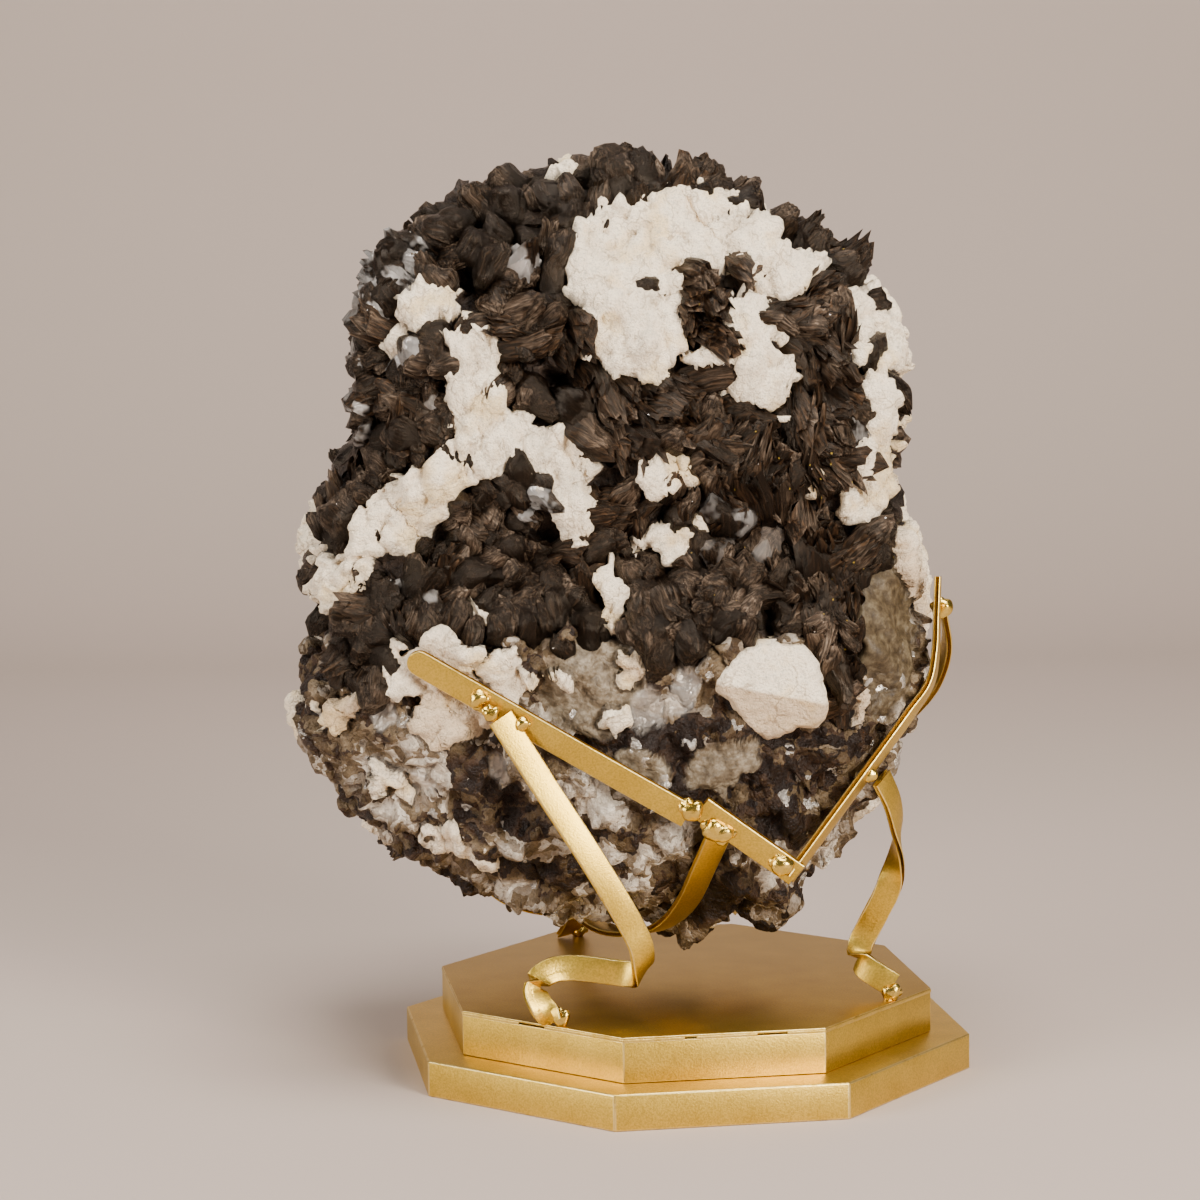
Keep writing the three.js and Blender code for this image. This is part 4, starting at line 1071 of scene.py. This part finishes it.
def albite_block():
    """A block of albite that stands out of the front: two faces that meet in a ridge."""
    rim = np.array(BLOCK_RIM, float) - BLOCK_MIDDLE
    turns = np.arange(BLOCK_TURNS) * 2 * math.pi / BLOCK_TURNS
    rim_turns = np.arctan2(rim[:, 1], rim[:, 0])
    reach = np.interp(turns, rim_turns, np.hypot(rim[:, 0], rim[:, 1]), period=2 * math.pi)
    reach *= 1 + 0.025 * soft_noise(np.stack([np.cos(turns), np.sin(turns), 0 * turns], axis=1), 0.12, 151)
    shares = np.append(np.linspace(0.02, 1, BLOCK_RINGS), 1.0)
    share = np.repeat(shares, BLOCK_TURNS)
    x = BLOCK_MIDDLE[0] + share * np.tile(reach * np.cos(turns), len(shares))
    z = BLOCK_MIDDLE[1] + share * np.tile(reach * np.sin(turns), len(shares))
    above = z - BLOCK_RIDGE_Z - BLOCK_RIDGE_SLOPE * (x - BLOCK_MIDDLE[0])
    upper = smoothstep(-1.0, 1.0, above)
    height = BLOCK_HEIGHT - np.where(above > 0, BLOCK_FALL[0], BLOCK_FALL[1]) * abs(above)
    height -= 5 * smoothstep(0.84, 1.0, share) ** 2
    flat_at = np.stack([x, 0 * x, z], axis=1)
    height += 0.8 * soft_noise(flat_at, 8, 152) + 0.5 * soft_noise(flat_at, 3, 153)
    height[-BLOCK_TURNS:] = -14
    verts = np.stack([x, BLOCK_Y - height, z], axis=1)
    faces = [list(range(BLOCK_TURNS))]
    for ring in range(len(shares) - 1):
        for i in range(BLOCK_TURNS):
            a, b = ring * BLOCK_TURNS + i, ring * BLOCK_TURNS + (i + 1) % BLOCK_TURNS
            faces.append([a, a + BLOCK_TURNS, b + BLOCK_TURNS, b])
    nothing = np.zeros(len(verts))
    # The block's lower face is darkened: painted shade, as it faces away from the light, and a greyer albite
    numbers = [("albite", "POINT", nothing + 1), ("matrix", "POINT", nothing), ("tan", "POINT", nothing),
               ("silver_and_highlight", "POINT", nothing), ("pale", "POINT", nothing), ("dull_and_shade", "POINT", 1 - upper)]
    piece = add_mesh("albite_block", verts, faces, 50, numbers)
    finish_piece(piece, STONE, "mica_and_albite", "specimen")


def body_grids():
    """The body as two grids that share their rim. Gives the points, their outward directions, the
    point that each one is joined to, the faces of the front and the back, and the radius shares."""
    angle, share, rim = disc_grid()
    sides = [body_surface(angle, share, np.full(len(angle), side))[0] for side in (-1, 1)]
    middle = 0.5 * (sides[0][rim] + sides[1][rim])
    sides[0][rim] = middle
    sides[1][rim] = middle
    count = len(angle)
    front_faces = grid_faces(False)
    back_faces = grid_faces(True)
    points = np.vstack(sides)
    shift = np.arange(2 * count)
    shift[count:][rim] = np.arange(count)[rim]
    joined = [[shift[i] for i in face] for face in front_faces]
    joined += [[shift[i + count] for i in face] for face in back_faces]
    normals = mesh_normals(points, joined)
    normals = normals[shift]
    outward = (normals * (points - (CENTRE_X, 0, CENTRE_Z))).sum()
    if outward < 0:
        normals = -normals
        front_faces, back_faces = grid_faces(True), grid_faces(False)
    return points, normals, shift, front_faces, back_faces, np.tile(share, 2)


def surface_kinds(points, depth):
    """The shares of albite, broken matrix, tan faces and silvery faces at each point. The silvery faces'
    pale metallic colour is partly a painted highlight.
    """
    albite = smoothstep(-0.06, 0.10, depth)
    border = np.where(points[:, 1] < 0, read_at(FRONT_BORDER, points[:, 0]), MATRIX_TOP)
    border += 7 * soft_noise(points, 24, 11) + 5 * soft_noise(points, 8, 12)
    back_share = smoothstep(-30, 40, points[:, 1])
    matrix = smoothstep(5, -5, points[:, 2] - border + 10 * back_share) * (1 - albite)
    in_front = points[:, 1] < 0
    moved = points + 3.5 * noise_in_plane(points, 7, 51)
    tan = np.where(in_front, smoothstep(0.02, 0.10, in_patches(moved, TAN_FACES)), 0) * (1 - albite)
    silver_and_highlight = np.where(in_front, smoothstep(0.05, 0.2, in_patches(moved, SILVER_AND_HIGHLIGHT_FACES)), 0) * (1 - albite)
    return albite, matrix, tan, silver_and_highlight


def chipped_relief(warped):
    """How far tilted chips and crumbs stand out, and the tilt of the largest chips alone."""
    _, big_number, big_tilt = cells(warped, CHIP_CELLS[0], 71)
    _, chip_number, chip_tilt = cells(warped, CHIP_CELLS[1], 81)
    _, _, crumb_tilt = cells(warped, CHIP_CELLS[2], 91)
    chipped = 10 * big_tilt + 5 * (big_number - 0.5) + 5.5 * chip_tilt + 3.0 * (chip_number - 0.5)
    return chipped + (2.0 * crumb_tilt - 1), big_tilt


def albite_relief(points, warped, depth):
    """How far the grainy albite stands out, and how deep each point lies in its creases, which sets the
    painted shade there.
    """
    upright = warped * (1, 1, 0.6)
    puff_far, _, _ = cells(upright, PUFF_CELLS[0], 101)
    puff_mid, _, puff_tilt = cells(upright, PUFF_CELLS[1], 111)
    puff_near, _, near_tilt = cells(points, PUFF_CELLS[2], 121)
    rise = 3.0 * np.sqrt(np.clip(depth, 0, 0.5) / 0.5)
    puffed = rise + 4.6 * (0.5 - puff_far ** 2) + 3.0 * (0.5 - puff_mid ** 2) + 2.9 * puff_tilt
    puffed += 1.3 * (0.5 - puff_near ** 2) + 1.5 * near_tilt
    return puffed, smoothstep(0.8, -3.2, puffed - rise)


def stone_tones(points, in_front):
    """How pale the broken matrix is at each point, and how far the albite and the tan faces are darkened,
    partly for greyer stone and partly as painted shade.
    """
    whiter = np.where(in_front, smoothstep(-0.1, 0.35, in_patches(points, WHITE_MATRIX)), 0.4)
    darker = np.where(in_front, smoothstep(-0.1, 0.35, in_patches(points, DARK_MATRIX)), 0.2)
    pale = 0.23 * whiter - 0.23 * darker - 0.11 + 0.12 * soft_noise(points, 40, 131)
    return pale, np.where(in_front, smoothstep(-0.1, 0.2, in_patches(points, DULL_AND_SHADED_ALBITE)), 0)


def stone_body():
    points, normals, joined_to, front_faces, back_faces, share = body_grids()
    in_front = points[:, 1] < 0
    depth = albite_depth(points)
    albite, matrix, tan, silver_and_highlight = surface_kinds(points, depth)
    warped = points + 2.2 * noise_all_ways(points, 7, 61)
    chipped, big_tilt = chipped_relief(warped)
    puffed, crease_shade = albite_relief(points, warped, depth)
    hollow = np.where(in_front, smoothstep(-0.2, 0.3, in_patches(points, HOLLOWS)), 0)
    under_mica = -8 + 0.6 * chipped - 14 * hollow
    flat = -1.0 + 0.5 * big_tilt
    offset = under_mica + (chipped - under_mica) * matrix
    offset += (flat - offset) * np.maximum(tan, silver_and_highlight)
    offset = smoothed(offset)
    offset += (puffed - offset) * albite
    near_rim = smoothstep(0.55, 0.90, share)
    for patch in DRAWN_IN:
        offset -= patch[5] * near_rim * smoothstep(0.0, 0.6, in_patches(points, [patch]))
    points = points + normals * offset[:, None]
    points = clear_of_bars(points, normals)[joined_to]
    pale, dull_and_shade = stone_tones(points, in_front)
    values = {"albite": albite, "matrix": matrix, "tan": tan, "silver_and_highlight": silver_and_highlight, "pale": pale, "dull_and_shade": dull_and_shade,
              "crease_shade": crease_shade}
    count = len(points) // 2
    for name, faces, block in (("stone_front", front_faces, slice(0, count)),
                               ("stone_back", back_faces, slice(count, 2 * count))):
        numbers = [(key, "POINT", value[block]) for key, value in values.items()]
        piece = add_mesh(name, points[block], faces, 180, numbers)
        finish_piece(piece, STONE, "mica_and_albite", "specimen")


# Mica books
def place_on(angle, share, side, heading):
    """A place on the stone, its outward direction, and the direction of a heading in the front view."""
    at, normal = (row[0] for row in body_surface(np.array([angle]), np.array([share]), np.array([side])))
    along = np.array([math.cos(heading), 0, math.sin(heading)])
    along = along - normal * (along @ normal)
    return at, normal, along / max(np.linalg.norm(along), 1e-6)


def book_outline(bundle, seed):
    """A tongue from root (0) to tip (1), as shares of length and width, with a lobed rim."""
    turns = np.arange(BOOK_POINTS) * 2 * math.pi / BOOK_POINTS
    u = 0.5 - 0.5 * np.cos(turns)
    if bundle:
        half = 0.5 * (0.72 + 0.28 * np.minimum(1, 1.8 * u)) * np.sqrt(np.maximum(0, 1 - u ** 6))
    else:
        half = 0.5 * np.sqrt(np.maximum(0, 1 - abs(2 * u - 1) ** 2.4))
    v = np.sign(np.sin(turns)) * half
    lobes = 1 + 0.08 * np.sin(2 * turns + 6 * number_of(seed, 1))
    lobes += 0.06 * np.sin(4 * turns + 6 * number_of(seed, 2))
    return u * lobes, v * lobes


def bundle_share(at):
    """How many of the books near a place are fibrous bundles; the rest are rounded knobs."""
    low_enough = float(smoothstep(424, 396, at[2]))
    if at[0] > 58 or at[1] > -20:
        return 0.08 + 0.5 * low_enough * float(smoothstep(104, 88, abs(at[0])))
    return 0.08 + 0.70 * low_enough * float(smoothstep(-85, -40, at[0]) * smoothstep(262, 296, at[2]))


class Books:
    """Gathers the meshes of many books into one piece."""

    def __init__(self):
        self.verts = []
        self.faces = []
        self.grain = []
        self.bundle = []
        self.broad_face = []
        self.tone = []
        self.silver_and_highlight = []
        self.groove_shade = []
        self.reach = []
        self.count = 0

    def add(self, place, length, width, lift, roll, seed, silver_and_highlight):
        """One book. A bundle shows sheets of uneven length edge on; a lobe swells in the middle."""
        at, normal, along = place
        ahead = along * math.cos(lift) + normal * math.sin(lift)
        flat = normal - ahead * (normal @ ahead)
        flat /= np.linalg.norm(flat)
        wide = np.cross(flat, ahead)
        cosine, sine = math.cos(roll), math.sin(roll)
        flat, wide = flat * cosine - wide * sine, wide * cosine + flat * sine
        root = at - 0.45 * length * ahead - 0.18 * width * normal
        bundle = number_of(seed, 3) < bundle_share(at)
        length, width = (1.12 * length, 1.05 * width) if bundle else (0.82 * length, 1.18 * width)
        thickness = width * (0.80 if bundle else 0.85)
        u, v = book_outline(bundle, seed)
        shape = {
            "root": root, "axes": (ahead, wide, flat), "sizes": (length, width, thickness), "seed": seed,
            "fan": 0.4 * number_of(seed, 4) if bundle else 0.0,
            "curl": 0.34 * (number_of(seed, 5) - 0.5), "bend": 0.24 * (number_of(seed, 9) - 0.5),
        }
        rings = 2 * (BOOK_SHEETS if bundle else BOOK_SHEETS - 1) - 1
        domes = [(0.80, 1.12)] if bundle else [(0.56, 1.10), (0.26, 1.17)]
        first = self.count
        index = np.arange(BOOK_POINTS)
        for ring in range(rings):
            level = 2 * ring / (rings - 1) - 1
            sheet = ring // 2
            swell = 1 - 0.15 * level ** 2 if bundle else math.sqrt(1 - 0.80 * level ** 2)
            reach = 1 - (0.30 if bundle else 0.06) * hashed(sheet, seed, 1, 6)
            uneven = hashed(index, sheet, seed, 5) - 0.7
            jagged = (0.26 if bundle else 0.04) * smoothstep(0.5, 0.9, u) * uneven
            size = swell * (0.93 if ring % 2 else 1.0)
            drift = (0.12 if bundle else 0.05) * (hashed(sheet, seed, 2, 8) - 0.5)
            middle = 0.0 if bundle else 0.5
            forward = middle + (u - middle) * size * reach + jagged
            self.ring(shape, forward, v * size + drift, level)
            # Every second ring is a groove between sheets, which gets painted shade
            self.groove_shade += [float(ring % 2)] * BOOK_POINTS
        for level in (-1, 1):
            for swell, out in domes:
                self.ring(shape, 0.46 + 0.55 * swell * (u - 0.5), 0.5 * swell * v, out * level)
                self.groove_shade += [0.0] * BOOK_POINTS
        for ring in range(rings - 1):
            a = first + ring * BOOK_POINTS
            for i in range(BOOK_POINTS):
                after = (i + 1) % BOOK_POINTS
                self.faces.append([a + i, a + after, a + BOOK_POINTS + after, a + BOOK_POINTS + i])
                self.broad_face.append(0.0)
        for side, outer in ((0, first), (1, first + (rings - 1) * BOOK_POINTS)):
            for dome in range(len(domes)):
                inner = first + (rings + side * len(domes) + dome) * BOOK_POINTS
                for i in range(BOOK_POINTS):
                    after = (i + 1) % BOOK_POINTS
                    face = [outer + i, inner + i, inner + after, outer + after]
                    self.faces.append(face if side == 0 else face[::-1])
                    self.broad_face.append(1.0)
                outer = inner
            cap = [outer + i for i in range(BOOK_POINTS)]
            self.faces.append(cap[::-1] if side == 0 else cap)
            self.broad_face.append(1.0)
        self.tone += [number_of(seed, 7)] * (self.count - first)
        self.silver_and_highlight += [silver_and_highlight] * (self.count - first)
        self.bundle += [float(bundle)] * (self.count - first)

    def ring(self, shape, u, v, level):
        length, width, thickness = shape["sizes"]
        forward = u * length
        height = 0.5 * thickness * level * (1 + shape["fan"] * u) + shape["curl"] * length * u ** 2
        across = v * width + shape["bend"] * length * u ** 2
        local = np.stack([forward, across, height], axis=1)
        self.verts.append(shape["root"] + local @ np.array(shape["axes"]))
        shift = 37.0 * number_of(shape["seed"], 8)
        self.grain.append(local + (shift, 2 * shift, shift))
        # reach, from root (0) to tip (1), sets the painted shade at the roots
        self.reach += list(u)
        self.count += len(u)

    def make(self, name):
        verts = np.vstack(self.verts)
        for size, reach, seed in ((12, 2.6, 161), (5.5, 1.5, 171)):
            verts = verts + reach * noise_all_ways(verts, size, seed)
        numbers = [("bundle", "POINT", self.bundle), ("tone", "POINT", self.tone),
                   ("silver_and_highlight", "POINT", self.silver_and_highlight), ("groove_shade", "POINT", self.groove_shade),
                   ("reach", "POINT", self.reach), ("broad_face", "FACE", self.broad_face)]
        vectors = [("grain", "POINT", np.vstack(self.grain))]
        piece = add_mesh(name, verts, self.faces, 42, numbers, vectors)
        finish_piece(piece, MICA, "mica_and_albite", "specimen")


def free_of_bars(at, room):
    return ((BAR_AT - at) ** 2).sum(axis=1).min() > room ** 2


def albite_here(at):
    return albite_depth(at[None])[0]


def cluster(books, angle, share, side, heading, length, width, lift, seed, members, chosen=False, shine=0.0):
    """A book and its smaller neighbours, which point nearly the same way. They keep off the albite
    and the tan faces, apart from a listed first one, and off the bars."""
    at, normal, along = place_on(angle, share, side, heading)
    beside = np.cross(normal, along)
    for k in range(members):
        number = [number_of(seed * 11 + k, stream) for stream in range(20, 29)]
        away = 0 if k == 0 else 1
        moved = (number[0] - 0.6) * 0.9 * length * along + (number[1] - 0.5) * 2.0 * width * beside
        spot = at + away * moved
        near_angle, near_share = on_outline(spot[0], spot[2]) if k else (angle, share)
        turned = heading + away * 0.6 * (number[2] - 0.5)
        place, outward, ahead = place_on(near_angle, near_share, side, turned)
        shrink = 1 - away * 0.40 * number[3]
        tip = place + 0.5 * length * shrink * ahead
        over = albite_here(place) > 0.0 or albite_here(tip) > 0.16
        if over and not (chosen and k == 0) and number[8] > ON_ALBITE:
            continue
        if side < 0 and in_patches(np.stack([place, tip]), HOLLOWS).max() > 0.0:
            continue
        if side < 0 and in_patches(np.stack([place, tip]), TAN_FACES + SILVER_AND_HIGHLIGHT_FACES).max() > 0.1:
            continue
        if not free_of_bars(place, 13) or not free_of_bars(tip, 11):
            continue
        if not chosen:
            place = place - outward * RIM_SINK * float(smoothstep(0.80, 0.97, near_share))
        roll = math.radians((170 if away else 90) * (number[4] - 0.5))
        slim = 0.70 + 0.30 * number[5]
        tilt = lift + away * 0.5 * (number[6] - 0.4)
        # Books on the upper left are often silvery: pale metallic colour that is partly a painted highlight
        silvery = 0.30 if place[0] < -125 and place[2] > 330 else 0.02
        silver_and_highlight = max(0 if away else shine, 0.8 if number[7] < silvery else 0.0)
        size = (length * shrink, width * shrink * slim)
        books.add((place, outward, ahead), *size, tilt, roll, seed * 11 + k, silver_and_highlight)


def front_books():
    for part, name in ((0, "mica_front_upper"), (1, "mica_front_lower")):
        books = Books()
        half = len(FRONT_BOOKS) // 2
        for i, (x, z, heading, length, width, lift, *shine) in enumerate(FRONT_BOOKS):
            if (i >= half) != (part == 1):
                continue
            angle, share = on_outline(x, z)
            turn, raised = math.radians(heading), math.radians(lift)
            cluster(books, angle, share, -1, turn, 1.1 * length, width, raised, i, SIBLINGS,
                    chosen=True, shine=sum(shine))
        books.make(name)


def filler_books():
    """Short books that fill the mica between the larger ones on the front."""
    books = Books()
    for i in range(FILLER_BOOKS):
        share = 0.985 * math.sqrt((i + 0.5) / FILLER_BOOKS)
        angle = i * GOLDEN_ANGLE
        x = CENTRE_X + share * float(outline_radius(angle)) * math.cos(angle)
        z = CENTRE_Z + share * float(outline_radius(angle)) * math.sin(angle)
        if z < read_at(FRONT_BORDER, x) + 4 * number_of(i, 41):
            continue
        heading = 1.3 * math.sin(x * 0.03 + 1) + 1.6 * math.cos(z * 0.027) + 1.2 * number_of(i, 42)
        length = 20 + 14 * number_of(i, 43)
        cluster(books, angle, share, -1, heading, length, 0.62 * length, 0.45, 500 + i, 3)
    books.make("mica_front_fill")


def side_books():
    """Books round the rim, from near the front's last ones to near the back's first ones."""
    books = Books()
    for i in range(SIDE_BOOKS):
        angle = i * GOLDEN_ANGLE
        side = -1 if i % 5 < 2 else 1
        level = (0.60 if side < 0 else 0.88) * number_of(i, 4)
        share = (1 - level ** (2 / SQUARENESS)) ** (SQUARENESS / 2)
        if CENTRE_Z + share * float(outline_radius(angle)) * math.sin(angle) < MATRIX_TOP - 12:
            continue
        heading = angle + 2.4 * (number_of(i, 5) - 0.5)
        length = 22 + 12 * number_of(i, 6)
        cluster(books, angle, share, side, heading, length, 0.64 * length, 0.5, 1500 + i, 1)
    books.make("mica_sides")


def back_books():
    books = Books()
    for i in range(BACK_CLUSTERS):
        share = 0.9 * math.sqrt((i + 0.5) / BACK_CLUSTERS)
        angle = i * GOLDEN_ANGLE
        heading = 1.6 + 1.8 * (number_of(i, 9) - 0.5)
        length = 28 + 14 * number_of(i, 10)
        cluster(books, angle, share, 1, heading, length, 0.55 * length, 0.4, 2500 + i, SIBLINGS)
    books.make("mica_back")


add_camera()
add_backdrop()
add_lights()

octagon_tier("base_lower_painted", BASE_CORNER_RADIUS, 0, LOWER_TIER_TOP, "base_lower_tier", 0.9)
octagon_tier("base_upper_painted", UPPER_CORNER_RADIUS, UPPER_TIER_BOTTOM, UPPER_TIER_TOP,
             "base_upper_tier", 0.5)
# The top plate gets the painted shade
octagon_tier("base_top_painted", UPPER_CORNER_RADIUS, TOP_PLATE_BOTTOM, BASE_TOP, "base_top_plate", 0.4, 1.0)
seam_fill()
for bar_name in BARS:
    add_bar(bar_name)

stone_body()
albite_block()
front_books()
filler_books()
side_books()
back_books()
